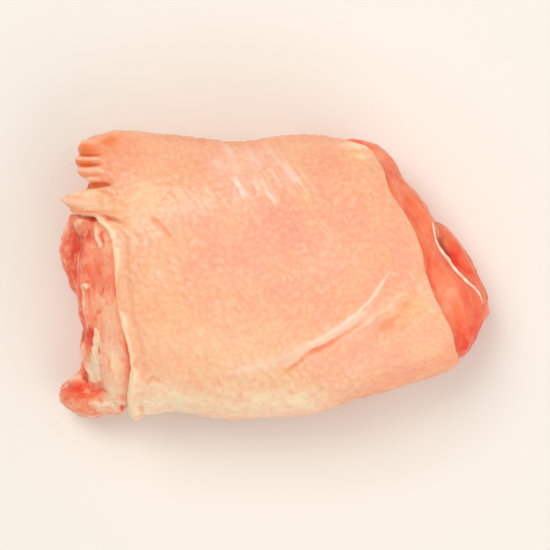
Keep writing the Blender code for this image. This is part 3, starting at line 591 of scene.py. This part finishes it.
def make_skin():
    """The skin as one closed piece: a fine outer side, a coarse hidden one, and a strip between them."""
    outer, inner, values = skin_sheet()
    rows, columns = outer.shape[:2]
    fine = np.arange(rows * columns).reshape(rows, columns)
    picked_rows = np.unique(np.r_[0:rows:INNER_STEP, rows - 1])
    picked_columns = np.unique(np.r_[0:columns:INNER_STEP, columns - 1])
    picked = np.ix_(picked_rows, picked_columns)
    coarse = fine.size + np.arange(fine[picked].size).reshape(fine[picked].shape)
    faces = quads_of(fine) + quads_of(coarse, turned=True)
    strips = [
        (fine[0, :], coarse[0, :], picked_columns, False),
        (fine[-1, :], coarse[-1, :], picked_columns, True),
        (fine[:, 0], coarse[:, 0], picked_rows, True),
        (fine[:, -1], coarse[:, -1], picked_rows, False),
    ]
    for near, far, at, turned in strips:
        for k in range(len(at) - 1):
            face = [*near[at[k]:at[k + 1] + 1], far[k + 1], far[k]]
            faces.append([int(v) for v in (face if turned else face[::-1])])
    points = np.concatenate([outer.reshape(-1, 3), inner[picked].reshape(-1, 3)])
    made = mesh_object("thigh_skin", points, faces)
    for name, value in values.items():
        ends = (-1, *value.shape[2:])
        store(made.data, name, np.concatenate([value.reshape(ends), value[picked].reshape(ends)]))
    return made


# The flesh

def ring_body(rings):
    """Points and faces of a body from equal rings of points, closed by a point at each end."""
    count = len(rings[0])
    points = np.concatenate([*rings, [rings[0].mean(axis=0), rings[-1].mean(axis=0)]])
    first, last = len(points) - 2, len(points) - 1
    faces = []
    for start in range(0, first - count, count):
        for j in range(count):
            a, b = start + j, start + (j + 1) % count
            faces.append((a, b, b + count, a + count))
    tail = first - count
    for j in range(count):
        faces.append((first, (j + 1) % count, j))
        faces.append((last, tail + j, tail + (j + 1) % count))
    return points, faces


def core_body():
    """The loaf itself, a little smaller where the bellies cover its two ends."""
    low, high = CORE_ENDS
    left_cap, right_cap = CORE_CAPS
    girths = np.linspace(GIRTHS[0], GIRTHS[-1], CORE_SIDES + 1)[:-1]
    turns = np.linspace(0.12, math.pi / 2, 14)
    xs = np.concatenate([
        (low + left_cap * (1 - np.sin(turns)))[::-1],
        np.linspace(low + left_cap, high - right_cap, 70)[1:-1],
        high - right_cap * (1 - np.sin(turns)),
    ])
    rings = []
    for x in np.unique(np.round(xs, 4)):
        into = max((low + left_cap - x) / left_cap, (x - high + right_cap) / right_cap, 0.0)
        size = (1 - min(into, 0.995) ** 3) ** (1 / 3)
        size *= 1 - CORE_SLIMMER * max(ramp(-38, -44, x), ramp(34, 42, x))
        middle, _, waist, _ = section(x)
        hub = np.array([x, middle, waist])
        rings.append(hub + (loaf(np.full(len(girths), x), girths) - hub) * size)
    return ring_body(rings[::-1])


def smooth_path(points, count):
    """Points spread along a smooth curve through the given ones, and how far along it each is, 0 to 1."""
    knots = np.array(points, float)
    at = np.concatenate([[0], np.cumsum(np.linalg.norm(np.diff(knots, axis=0), axis=1))])
    places = at[-1] * (1 - np.cos(np.linspace(0, math.pi, count))) / 2
    curve = [curve_at(list(zip(at, knots[:, i])), places) for i in range(3)]
    return np.stack(curve, axis=-1), places / at[-1]


def radius_at(radii, share):
    """A belly's radius at a share of its length."""
    return curve_at(list(zip(np.linspace(0, 1, len(radii)), radii)), share)


def across_path(direction):
    """The sideways and upward directions that go with a direction."""
    sideways = np.cross(direction, (0, 0, 1.0))
    sideways /= np.linalg.norm(sideways)
    return sideways, np.cross(sideways, direction)


def belly_rings(path, radii, sides, count):
    """Rings of a rounded sausage along a path, none of them below the floor."""
    line, share = smooth_path(path, count)
    tangent = np.gradient(line, axis=0)
    tangent /= np.linalg.norm(tangent, axis=1, keepdims=True)
    turns = np.linspace(0, 2 * math.pi, sides, endpoint=False)
    rings = []
    for centre, forward, r, s in zip(line, tangent, radius_at(radii, share), share):
        sideways, up = across_path(forward)
        taper = max(0.1, (1 - abs(2 * s - 1) ** 3) ** (1 / 2))
        ring = centre + r * taper * (np.outer(np.cos(turns), sideways) + np.outer(np.sin(turns), up))
        ring[:, 2] = np.maximum(ring[:, 2], FLOOR_GAP)
        rings.append(ring)
    return rings


def under_skin(x, girth):
    """How far a point is inside the skin's left and right edges, less than 0 where it is bare."""
    return np.minimum(x - edge_at(LEFT_BY_GIRTH, girth), edge_at(RIGHT_BY_GIRTH, girth) - x)


def tucked(points):
    """The points with those under the skin drawn inside the loaf, so that no belly meets the skin."""
    x, y, z = points.T
    girth, out = girth_of(x, y, z)
    most = 0.975 + 0.2 * ramp(-0.6, -3.6, under_skin(x, girth))
    middle, _, waist, _ = section(x)
    shrink = np.minimum(1, most / out)
    return np.stack([x, middle + (y - middle) * shrink, waist + (z - waist) * shrink], axis=-1)


def neighbour_mean(points, edges, rounds):
    """Points after rounds of moving each halfway to the mean of its neighbours."""
    count = len(points)
    a, b = np.concatenate([edges, edges[:, ::-1]]).T
    number = np.bincount(a, minlength=count)[:, None]
    for _ in range(rounds):
        sums = [np.bincount(a, weights=column[b], minlength=count) for column in points.T]
        points = 0.5 * points + 0.5 * np.stack(sums, axis=-1) / number
    return points


def read_all(items, name, width, kind=float):
    """One property of all the items of a mesh, as an array."""
    found = np.empty(len(items) * width, kind)
    items.foreach_get(name, found)
    return found.reshape(-1, width)


def place_points(mesh, points):
    """Moves a mesh's points to places in millimetres."""
    mesh.vertices.foreach_set("co", (points * MM).ravel())
    mesh.update()


def joined_bodies():
    """The core and every belly joined into one surface."""
    bodies = [core_body()]
    for path, radii in BELLIES.values():
        points, faces = ring_body(belly_rings(path, radii, 32, 40))
        bodies.append((tucked(points), faces))
    points, faces, start = [], [], 0
    for body_points, body_faces in bodies:
        points.append(body_points)
        faces += [tuple(v + start for v in f) for f in body_faces]
        start += len(body_points)
    made = mesh_object("thigh_meat", np.concatenate(points), faces)
    remesh = made.modifiers.new("join", "REMESH")
    remesh.mode, remesh.voxel_size = "VOXEL", VOXEL * MM
    evaluated = made.evaluated_get(bpy.context.evaluated_depsgraph_get())
    made.data = bpy.data.meshes.new_from_object(evaluated)
    made.modifiers.clear()
    made.data.shade_smooth()
    return made


def belly_grain(at):
    """For each point, its place along and round the belly it lies on, and how calm the grain is there: 0
    where two bellies join and 1 away from it."""
    count = len(at)
    best, second, nearest_depth = np.full((3, count), 1e9)
    # A belly's grain reaches further out at the loaf's bare ends than below the skin
    reach = np.where((at[:, 0] < -33) | (at[:, 0] > 24), 4.0, 0.9)
    girth, _ = girth_of(*at.T)
    grain = flat(at[:, 0], girth)
    for n, (path, radii) in enumerate(BELLIES.values(), start=1):
        if max(radii) < OWN_GRAIN:
            continue
        line, share = smooth_path(path, 24)
        away, along = distance_to_line(at, line)
        depth = away - radius_at(radii, along)
        length = np.linalg.norm(np.diff(line, axis=0), axis=1).sum()
        out = at - np.stack([np.interp(along, share, line[:, i]) for i in range(3)], axis=-1)
        ahead = line[-1] - line[0]
        sideways, up = across_path(ahead / np.linalg.norm(ahead))
        turn = np.arctan2(out @ up, out @ sideways)
        mine = np.stack([along * length, turn * np.mean(radii), np.full(count, 17.0 * n)], axis=-1)
        closer = (depth < best) & (depth < reach)
        nearest_depth = np.minimum(nearest_depth, depth)
        second = np.where(closer, best, np.minimum(second, depth))
        grain = np.where(closer[:, None], mine, grain)
        best = np.where(closer, depth, best)
    from_join = np.minimum(second - best, np.abs(nearest_depth - reach))
    return grain, ramp(0.0, 0.9, from_join)


def make_meat():
    """The flesh: the core and every belly as one surface, with fibres, lumps, fat and hollows in it."""
    made = joined_bodies()
    mesh = made.data
    edges = read_all(mesh.edges, "vertices", 2, np.int32)
    at = neighbour_mean(read_all(mesh.vertices, "co", 3) / MM, edges, 9)
    grain, calm = belly_grain(at)
    place_points(mesh, at)
    normals = read_all(mesh.vertices, "normal", 3)

    # Fill the sharpest creases between bellies
    for _ in range(3):
        crease = np.einsum("ij,ij->i", neighbour_mean(at, edges, 5) - at, normals)
        at = at + normals * (0.9 * np.maximum(crease, 0))[:, None]

    x, y, z = at.T
    girth, _ = girth_of(x, y, z)
    inside = under_skin(x, girth)
    bare = ramp(0.5, -1.5, inside)
    on_left = ramp(0, -10, x)
    fibres = layered(grain, FIBRE_SIZE, 71, 2)
    strands = noise(grain, STRAND_SIZE, 73)
    lumps = layered(at, LUMP_SIZE, 75, 3) * (0.8 + 0.7 * on_left) + 0.6 * noise(at, 1.7, 77) * on_left
    at = at + (neighbour_mean(at, edges, 14) - at) * (0.6 * (1 - calm) * bare)[:, None]
    shift = ((0.16 * fibres + 0.28 * strands) * calm + 0.3 * lumps) * bare * ramp(0.4, 3.0, z)
    plan = at[:, :2] + 0.35 * wandering(at, 1.8, 93) + 0.21 * wandering(at, 0.9, 97)
    up = ramp(-0.1, 0.3, normals[:, 2])
    fat = ramp(0.1, 1.0, line_mark(plan, FAT_LINES) + 0.2 * noise(at, 1.5, 101)) * up
    red = np.clip(line_mark(plan, RED_LINES), 0, 1) * up
    dark_shade = np.clip(line_mark(plan, DARK_SHADE_LINES), 0, 1) * up
    shift = shift + (FAT_RISE * fat - RED_DEPTH * red - DARK_DEPTH * dark_shade) * bare
    at = at + normals * shift[:, None]
    at[:, 2] = np.maximum(at[:, 2], 0.0)
    place_points(mesh, at)

    # How hollow each bare point is, which gives painted shade in the hollows and paler raised parts
    hollow = np.einsum("ij,ij->i", neighbour_mean(at, edges, 16) - at, normals)
    hollow = np.clip(hollow * ramp(-1.4, -4.0, inside) / HOLLOW_FULL, -1, 1)
    # A painted shadow on the flesh just beside the skin's left edge
    skin_edge_shadow = ramp(-1.0, -0.4, inside) * ramp(1.6, 0.2, inside)
    skin_edge_shadow = skin_edge_shadow * (0.25 + 0.75 * bell(y, -17.5, 5) + 0.6 * ramp(-30, -32.5, y))
    skin_edge_shadow = skin_edge_shadow * ramp(14, 8, y) * ramp(0, -10, x)
    for name, value in (("fat", fat), ("red", red), ("dark_shade", dark_shade), ("grain", grain), ("calm", calm),
                        ("skin_edge_shadow", skin_edge_shadow), ("hollow", hollow)):
        store(mesh, name, value)
    return made


# Materials

def material(name):
    """A new node material, its tree and its shader."""
    made = bpy.data.materials.new(name)
    made.use_nodes = True
    return made, made.node_tree, made.node_tree.nodes["Principled BSDF"]


def dress(tree, node, looks):
    """Sets a node's inputs, by name or number, or links what comes from another node."""
    for key, look in looks.items():
        if isinstance(look, bpy.types.NodeSocket):
            tree.links.new(look, node.inputs[key])
        else:
            node.inputs[key].default_value = look


def add(tree, kind, inputs, output=0, **settings):
    """One output of a new node with these inputs, by name or in order, and these settings."""
    node = tree.nodes.new("ShaderNode" + kind)
    for name, value in settings.items():
        setattr(node, name, value)
    dress(tree, node, inputs if isinstance(inputs, dict) else dict(enumerate(inputs)))
    return node.outputs[output]


def maths(tree, operation, *values):
    """A Math node's result."""
    return add(tree, "Math", values, operation=operation)


def times(tree, first, *others):
    """The product of values."""
    for other in others:
        first = maths(tree, "MULTIPLY", first, other)
    return first


def ranged(tree, value, low, high, to_low=0.0, to_high=1.0):
    """A value mapped smoothly from one range to another."""
    return add(tree, "MapRange", (value, low, high, to_low, to_high), interpolation_type="SMOOTHSTEP")


def mixed(tree, share, first, second):
    """A mix of two colours. Shares below 0 and above 1 count as 0 and 1."""
    return add(tree, "Mix", {0: share, 6: first, 7: second}, 2, data_type="RGBA")


def stored(tree, name, vector=False):
    """A value kept on the mesh."""
    return add(tree, "Attribute", (), "Vector" if vector else "Fac", attribute_name=name)


def scaled(tree, vector, scale):
    """A vector multiplied by another."""
    return add(tree, "VectorMath", (vector, scale), operation="MULTIPLY")


def speckle(tree, vector, scale, detail=2.0, rough=0.5):
    """Noise at a vector, from about 0 to 1."""
    return add(tree, "TexNoise", {"Vector": vector, "Scale": scale, "Detail": detail, "Roughness": rough})


def bump(tree, height, distance, strength, **after):
    """A bump from a height, laid over another bump where one is given as Normal."""
    return add(tree, "Bump", {"Height": height, "Distance": distance, "Strength": strength, **after})


def object_place(tree):
    """A point's place on the object."""
    return add(tree, "TexCoord", (), "Object")


def coordinate(tree, vector, number):
    """One of the three numbers of a vector."""
    return add(tree, "SeparateXYZ", (vector,), number)


def patch_sum(tree, place, patches):
    """The sum of soft round patches in plan: each is x, y, half width, half height and strength."""
    across, up, total = coordinate(tree, place, 0), coordinate(tree, place, 1), 0.0
    for x, y, wide, high, strength in patches:
        dx = maths(tree, "DIVIDE", maths(tree, "SUBTRACT", across, x * MM), wide * MM)
        dy = maths(tree, "DIVIDE", maths(tree, "SUBTRACT", up, y * MM), high * MM)
        squares = maths(tree, "MULTIPLY_ADD", dx, dx, times(tree, dy, dy))
        total = maths(tree, "MULTIPLY_ADD", maths(tree, "POWER", math.exp(-1), squares), strength, total)
    return total


def patched(tree, colour, tones, place, patches, *shares):
    """A colour with soft patches of each tone laid over it, all scaled by the shares."""
    for tone, spots in patches.items():
        colour = mixed(tree, times(tree, patch_sum(tree, place, spots), *shares), colour, tones[tone])
    return colour


def layered_tones(tree, colour, tones, layers):
    """A colour with tones laid over it. Each layer is a value, or the name of a stored one, the values where
    its tone starts and where it is full, the share of it there, and the tone's name."""
    for value, start, full, most, tone in layers:
        value = stored(tree, value) if isinstance(value, str) else value
        colour = mixed(tree, ranged(tree, value, start, full, 0.0, most), colour, tones[tone])
    return colour


# The skin's colours, and its patches as x, y, half width, half height and strength. The crease and pleat
# tones also serve as painted shade, the orange one only as painted shade, and pale and light also as painted
# highlight.
SKIN_TONES = {
    "peach": "#fbb98d", "pink": "#fda48c", "yellow": "#fac285", "cream": "#ffe6c2", "orange_shade": "#f7833f",
    "blush": "#ffcbb8", "crease": "#ee8a58", "pale": "#ffd3b6", "pleat": "#d8602a", "light": "#ffdcc6",
    "rim": "#ffe3bd",
}
SKIN_PATCHES = {
    "pink": [(-13, 5, 9, 9, 0.45), (3, 9, 8, 8, 0.8), (17, 14, 8, 8, 0.35), (-1, 15, 5, 4, 0.5),
        (-38, 25, 5, 4, 0.5), (30, 3, 6, 8, 0.35), (20, -20, 12, 4, 0.2)],
    "yellow": [(-29, 18, 8, 6, 0.5), (-26, -6, 8, 10, 0.4), (-40, 17, 5, 3.5, 0.3), (3, 26, 1.4, 1.2, 0.9),
        (7.4, 18, 1.2, 1.8, 0.8), (-10.4, 31.2, 2, 1, 1), (33, -8, 6, 5, 0.6), (-10, -22, 18, 6, 0.5),
        (18.8, 29.2, 2.6, 1.5, 0.9)],
    "blush": [(-3, 27, 6, 3.4, 0.75), (3.8, 22.6, 2.6, 2.2, 0.7), (-12.6, 25, 3.2, 3, 0.6),
        (-6, 20, 5, 4, 0.45), (-17, 17, 4, 3, 0.3), (12, 4, 4, 4, 0.3)],
    "cream": [(-28, -30, 9, 6, 0.75), (-39, 6, 3, 6, 0.5), (-45, 16.6, 4, 1.6, 0.5),
        (19, 30.6, 3.4, 0.8, 0.9), (20.6, 28, 1.8, 0.7, 0.8), (-8, -30, 20, 5.4, 0.8),
        (7, -30, 8, 2.2, 0.6), (-14, -16, 19, 5, 0.35), (-43.5, 19.2, 2, 1, 0.5)],
}
# Painted orange shade along the skin's top and lower right edges and over the top left flap, where shade and
# orange reflected light fall
EDGE_SHADE_PATCHES = {
    "orange_shade": [(21, -30.4, 8, 2.4, 0.6), (30, -27.8, 9, 3.8, 0.55), (40, -24.4, 7, 3.6, 0.5),
        (-36, 27, 6, 5, 0.22), (-45.5, 29.6, 4.8, 3, 0.9), (-45.2, 25.2, 3, 1.6, 0.8), (44, -20, 5, 4, 0.4),
        (-40, 32.4, 6, 2.4, 0.75), (-20, 33.4, 10, 2, 0.7), (-8, 32.8, 8, 2.6, 0.65), (8, 33.8, 10, 2, 0.5),
        (-49, 15, 2.4, 2.4, 0.7), (-46, 14, 4.5, 0.8, 0.9)],
}
# Painted shade in the creases, painted highlight on the ridges, pale pores, pale streaks and painted orange
# shade
SKIN_LAYERS = [("crease", 0.05, 0.9, 0.7, "crease"), ("crease", -0.1, -0.9, 0.75, "pale"),
               ("pore", 0.2, 1.0, 0.12, "pale"), ("streak", 0.0, 0.75, 0.9, "light"),
               ("orange_shade", 0.0, 1.0, 0.75, "orange_shade")]
# Painted shade in the pleats' valleys, painted highlight on their ridges, and the cream rim
SKIN_TOP_LAYERS = [("pleat", -0.05, -0.6, 0.9, "pleat"), ("pleat", 0.1, 0.6, 0.6, "pale"),
                   ("rim", 0.15, 0.9, 0.9, "rim")]


def skin_material():
    """Moist pale skin: peach with pink and yellow areas, fine pores and a cream rim, with painted shade in
    its creases, pleats and along its edges and painted highlight on its ridges.
    """
    made, tree, shader = material("thigh_skin")
    place, sheet = object_place(tree), stored(tree, "sheet", True)
    tones = {name: linear(colour) for name, colour in SKIN_TONES.items()}
    pinker = ranged(tree, speckle(tree, sheet, 0.12, 3), 0.35, 0.65, 0.0, 0.5)
    colour = mixed(tree, pinker, tones["peach"], tones["pink"])
    high = ranged(tree, coordinate(tree, place, 2), 2 * MM, 18 * MM, 0.25, 1.0)
    uneven = ranged(tree, speckle(tree, sheet, 0.3, 3), 0.3, 0.7, 0.55, 1.25)
    colour = patched(tree, colour, tones, place, SKIN_PATCHES, high, uneven)
    mottle = ranged(tree, speckle(tree, sheet, 0.8, 3, 0.65), 0.35, 0.65, -1.0, 1.0)
    colour = mixed(tree, times(tree, mottle, 0.25), colour, tones["pale"])
    colour = mixed(tree, times(tree, mottle, -0.17), colour, tones["crease"])
    colour = layered_tones(tree, colour, tones, SKIN_LAYERS)
    # Painted orange shade along the edges
    colour = patched(tree, colour, tones, place, EDGE_SHADE_PATCHES, uneven, high)
    colour = layered_tones(tree, colour, tones, SKIN_TOP_LAYERS)
    dress(tree, shader, {
        "Base Color": colour,
        "Roughness": ranged(tree, speckle(tree, sheet, 0.5, 3), 0.3, 0.7, 0.34, 0.52),
        "Subsurface Weight": 0.22, "Subsurface Radius": (1.0, 0.4, 0.2), "Subsurface Scale": 1.5 * MM,
        "Coat Weight": ranged(tree, stored(tree, "edge"), 0.1, 0.7, 0.45, 0.08),
        "Coat Roughness": 0.17, "IOR": 1.4,
        "Normal": bump(tree, speckle(tree, sheet, 2.6, 3, 0.6), 0.09 * MM, 0.8),
    })
    return made


# The flesh's colours and patches. The dark tone is painted shade, and the red one is partly painted shade.
MEAT_TONES = {
    "flesh": "#ff7a4a", "red": "#f23a1a", "pale": "#ffbc98", "fat": "#ffedc8", "film": "#ffc4a4",
    "dark_shade": "#ac2a08",
}
MEAT_PATCHES = {
    "pale": [(-38.6, -20, 3, 11, 2.2), (-40.4, -7, 2.4, 5, 0.5), (-40.2, 7.5, 1.8, 4, 1),
        (-51.2, 10, 1.1, 3.4, 0.6), (-42, -31.8, 5, 1.8, 0.9), (-46, 12.2, 2.4, 1.6, 0.7),
        (-43.6, -8, 2.2, 3, 0.5), (-46, -19.4, 0.9, 1.6, 0.9), (-43.6, 6, 1.6, 3, 0.4),
        (24.6, 28, 2, 2, 0.5), (41.6, -4, 2.4, 2, 0.5), (40.6, -8, 2, 3, 0.4)],
    # Redder flesh, and painted shade in the crevice beside the sinew and in hollows and notches at the left
    # end
    "red": [(47.5, -16, 4, 5, 1), (-48.4, -28.2, 4.6, 2.8, 0.55), (-49.2, 5, 2.6, 6, 0.7),
        (43, 4.6, 2.4, 3.2, 1), (-46, 22, 3, 2.4, 1.3), (-37.9, -15, 1.4, 3, 0.4), (47.6, 0, 2, 3.4, 0.5),
        (-46.2, 4.5, 1.8, 6, 0.55), (-46.6, -11, 1.4, 5, 0.9), (-42.2, 0.4, 2.4, 3, 0.25),
        (48.4, -9, 2.4, 5, 0.4), (38, 6, 1.6, 3, 0.2)],
    # Painted shade in hollows and notches at the left end
    "dark_shade": [(-47.6, 8.4, 2.2, 4, 0.8), (-46.2, -14.8, 1, 2.6, 0.6), (-46.4, -23.4, 0.9, 1.6, 0.6),
        (-45.8, 22.2, 2, 1.6, 0.5)],
    "fat": [(-50.6, 11.6, 0.8, 1.4, 0.5), (-37.8, -21, 1.8, 9, 0.45), (-38, -29.4, 2.4, 2.6, 0.7),
        (-40.8, -31.6, 2.6, 1.2, 0.6)],
}
# Painted shade in the flesh's hollows, red where shallow and dark where deepest
HOLLOW_SHADE_LAYERS = [("hollow", 0.1, 0.6, 0.7, "red"), ("hollow", 0.5, 1.0, 0.45, "dark_shade")]
# Red marks that are partly painted shade, painted shade in the darkest crevices, and a painted shadow beside
# the skin's edge
MEAT_LAYERS = [("red", 0.1, 0.9, 0.9, "red"), ("dark_shade", 0.1, 0.9, 0.8, "dark_shade"),
               ("skin_edge_shadow", 0.1, 0.9, 0.55, "red")]


def meat_material():
    """Moist raw flesh with fibres, streaks of fat and a pale film in places, with painted shade in its
    hollows and crevices and a painted shadow beside the skin's edge.
    """
    made, tree, shader = material("thigh_meat")
    place, grain = object_place(tree), stored(tree, "grain", True)
    calm = stored(tree, "calm")
    tones = {name: linear(colour) for name, colour in MEAT_TONES.items()}
    on_left = ranged(tree, coordinate(tree, place, 0), -10 * MM, 10 * MM, 1.0, 0.0)
    along = scaled(tree, grain, (0.09, 1.0, 1.0))
    streaks, threads = speckle(tree, along, 1.1, 4, 0.55), speckle(tree, along, 3.4, 3, 0.6)
    blotches = speckle(tree, place, 180.0, 3)

    pale = maths(tree, "SUBTRACT", ranged(tree, streaks, 0.35, 0.72), 0.5)
    pale = maths(tree, "MULTIPLY_ADD", pale, calm, 0.5)
    pale = times(tree, pale, maths(tree, "MULTIPLY_ADD", on_left, 0.45, 0.35))
    colour = mixed(tree, pale, tones["flesh"], tones["pale"])
    colour = layered_tones(tree, colour, tones, [(blotches, 0.42, 0.7, 0.5, "red")])
    uneven = ranged(tree, speckle(tree, place, 420.0, 3), 0.35, 0.65, 0.6, 1.2)
    colour = patched(tree, colour, tones, place, MEAT_PATCHES, uneven)
    film = times(tree, ranged(tree, threads, 0.5, 0.75), calm)
    film = times(tree, film, maths(tree, "MULTIPLY_ADD", on_left, 0.25, 0.12))
    colour = mixed(tree, film, colour, tones["film"])
    fat_lines = speckle(tree, scaled(tree, grain, (0.05, 0.6, 1.0)), 0.9, 2)
    fat_lines = times(tree, ranged(tree, fat_lines, 0.62, 0.7, 0.0, 0.7), calm, on_left)
    colour = mixed(tree, fat_lines, colour, tones["fat"])
    colour = layered_tones(tree, colour, tones, HOLLOW_SHADE_LAYERS)

    # The left end is torn, so it is spotted with film and bare flesh, and its raised parts are made paler.
    raised = ranged(tree, stored(tree, "hollow"), -0.15, -0.9, 0.0, 0.75)
    flecks = ranged(tree, speckle(tree, place, 520.0, 3, 0.6), 0.54, 0.68, 0.0, 0.5)
    spots = speckle(tree, scaled(tree, place, (1.0, 0.6, 1.0)), 430.0, 2, 0.6)
    spots = ranged(tree, spots, 0.44, 0.32, 0.0, 0.5)
    for share, tone in ((raised, "film"), (flecks, "film"), (spots, "flesh")):
        colour = mixed(tree, times(tree, share, on_left), colour, tones[tone])
    broken = ranged(tree, speckle(tree, place, 620.0, 3), 0.35, 0.65, 0.7, 1.15)
    fat = times(tree, stored(tree, "fat"), ranged(tree, threads, 0.35, 0.65, 1.2, 0.6), broken)
    colour = layered_tones(tree, colour, tones, [*MEAT_LAYERS, (fat, 0.05, 0.95, 0.85, "fat")])
    rough = bump(tree, times(tree, maths(tree, "SUBTRACT", threads, 0.5), calm), 0.3 * MM, 0.7)
    dress(tree, shader, {
        "Base Color": colour,
        "Roughness": ranged(tree, blotches, 0.3, 0.7, 0.2, 0.42),
        "Subsurface Weight": 0.25, "Subsurface Radius": (1.0, 0.28, 0.16), "Subsurface Scale": 1.5 * MM,
        "Coat Weight": 0.14, "Coat Roughness": 0.14, "IOR": 1.4,
        "Normal": bump(tree, speckle(tree, place, 900.0, 2), 0.15 * MM, 0.5, Normal=rough),
    })
    return made


def sinew_material():
    """The glossy white edge of a sheet of sinew."""
    made, tree, shader = material("sinew")
    place = object_place(tree)
    pinker = ranged(tree, speckle(tree, place, 500.0, 3), 0.35, 0.65)
    dress(tree, shader, {
        "Base Color": mixed(tree, pinker, linear("#fdebd9"), linear("#fac8ae")),
        "Roughness": ranged(tree, speckle(tree, place, 900.0), 0.3, 0.7, 0.2, 0.35),
        "Subsurface Weight": 0.3, "Subsurface Radius": (1.0, 0.5, 0.35), "Subsurface Scale": 1.2 * MM,
        "Coat Weight": 0.6, "Coat Roughness": 0.1,
        "Normal": bump(tree, speckle(tree, place, 1500.0), 0.1 * MM, 0.5),
    })
    return made


def make_sinew(meat):
    """A strand of sinew that lies half sunk along the fold between two bellies."""
    line, radii = SINEW
    bpy.context.view_layer.update()
    tree = BVHTree.FromObject(meat, bpy.context.evaluated_depsgraph_get())
    plan, _ = smooth_path([(x, y, 0) for x, y in line], 36)
    hits = [tree.ray_cast(Vector((x, y, 3 * HEIGHT)) * MM, (0, 0, -1))[0] for x, y, _ in plan]
    path = np.array([(x, y, hit.z / MM) for (x, y, _), hit in zip(plan, hits)])
    heights = path[:, 2].copy()
    path[1:-1, 2] = np.maximum(heights[1:-1], (heights[:-2] + heights[2:]) / 2)
    points, faces = ring_body(belly_rings(path, radii, 14, 70))
    points = points + 0.12 * noise(points, 1.3, 91)[:, None]
    return mesh_object("sinew_edge", points, faces)


# The stage: each light is a place and a size in metres, its power in watts, and its colour
LIGHTS = {
    "key": ((-0.35, 0.42, 0.75), 0.5, 3.7, (1.0, 0.97, 0.93)),
    "fill": ((0.5, -0.6, 0.5), 0.8, 3.1, (1, 1, 1)),
    "top": ((0.05, 0.1, 0.9), 0.5, 0.5, (1, 1, 1)),
    "side": ((0.6, 0.15, 0.35), 0.5, 0.5, (1, 1, 1)),
}
FLOOR_HALF = 3000
FRAME_WIDTH = 132.0  # millimetres across the picture, at the thigh's middle height
LENS, SENSOR = 120.0, 36.0
SKY_COLOUR, SKY_STRENGTH = (1.0, 0.95, 0.88, 1), 0.5


def make_stage():
    """The floor, the lights, the sky and the camera."""
    corners = [(-1, -1, 0), (1, -1, 0), (1, 1, 0), (-1, 1, 0)]
    floor = mesh_object("floor", FLOOR_HALF * np.array(corners, float), [(0, 1, 2, 3)])
    paper, tree, shader = material("floor")
    dress(tree, shader, {"Base Color": linear("#f3efe8"), "Roughness": 0.7})
    floor.data.materials.append(paper)
    scene = bpy.context.scene
    for name, (place, size, power_w, colour) in LIGHTS.items():
        data = bpy.data.lights.new(name, "AREA")
        data.energy, data.size, data.color = power_w, size, colour
        light = bpy.data.objects.new(name, data)
        light.location = place
        light.rotation_mode = "QUATERNION"
        light.rotation_quaternion = (-Vector(place)).to_track_quat("-Z", "Y")
        scene.collection.objects.link(light)
    scene.world = bpy.data.worlds.new("world")
    scene.world.use_nodes = True
    sky = scene.world.node_tree.nodes["Background"]
    sky.inputs[0].default_value, sky.inputs[1].default_value = SKY_COLOUR, SKY_STRENGTH
    scene.view_settings.view_transform = "Standard"
    data = bpy.data.cameras.new("camera")
    data.lens, data.sensor_width = LENS, SENSOR
    scene.camera = bpy.data.objects.new("camera", data)
    scene.camera.location = (0, 0, (HEIGHT / 2 + FRAME_WIDTH * LENS / SENSOR) * MM)
    scene.collection.objects.link(scene.camera)


def main():
    skin = make_skin()
    skin.data.materials.append(skin_material())
    meat = make_meat()
    meat.data.materials.append(meat_material())
    sinew = make_sinew(meat)
    sinew.data.materials.append(sinew_material())
    for piece, node in ((skin, "skin"), (meat, "meat")):
        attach(piece, "root")
        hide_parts(node)
    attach(sinew, "root")
    make_stage()


main()

bpy.context.view_layer.update()
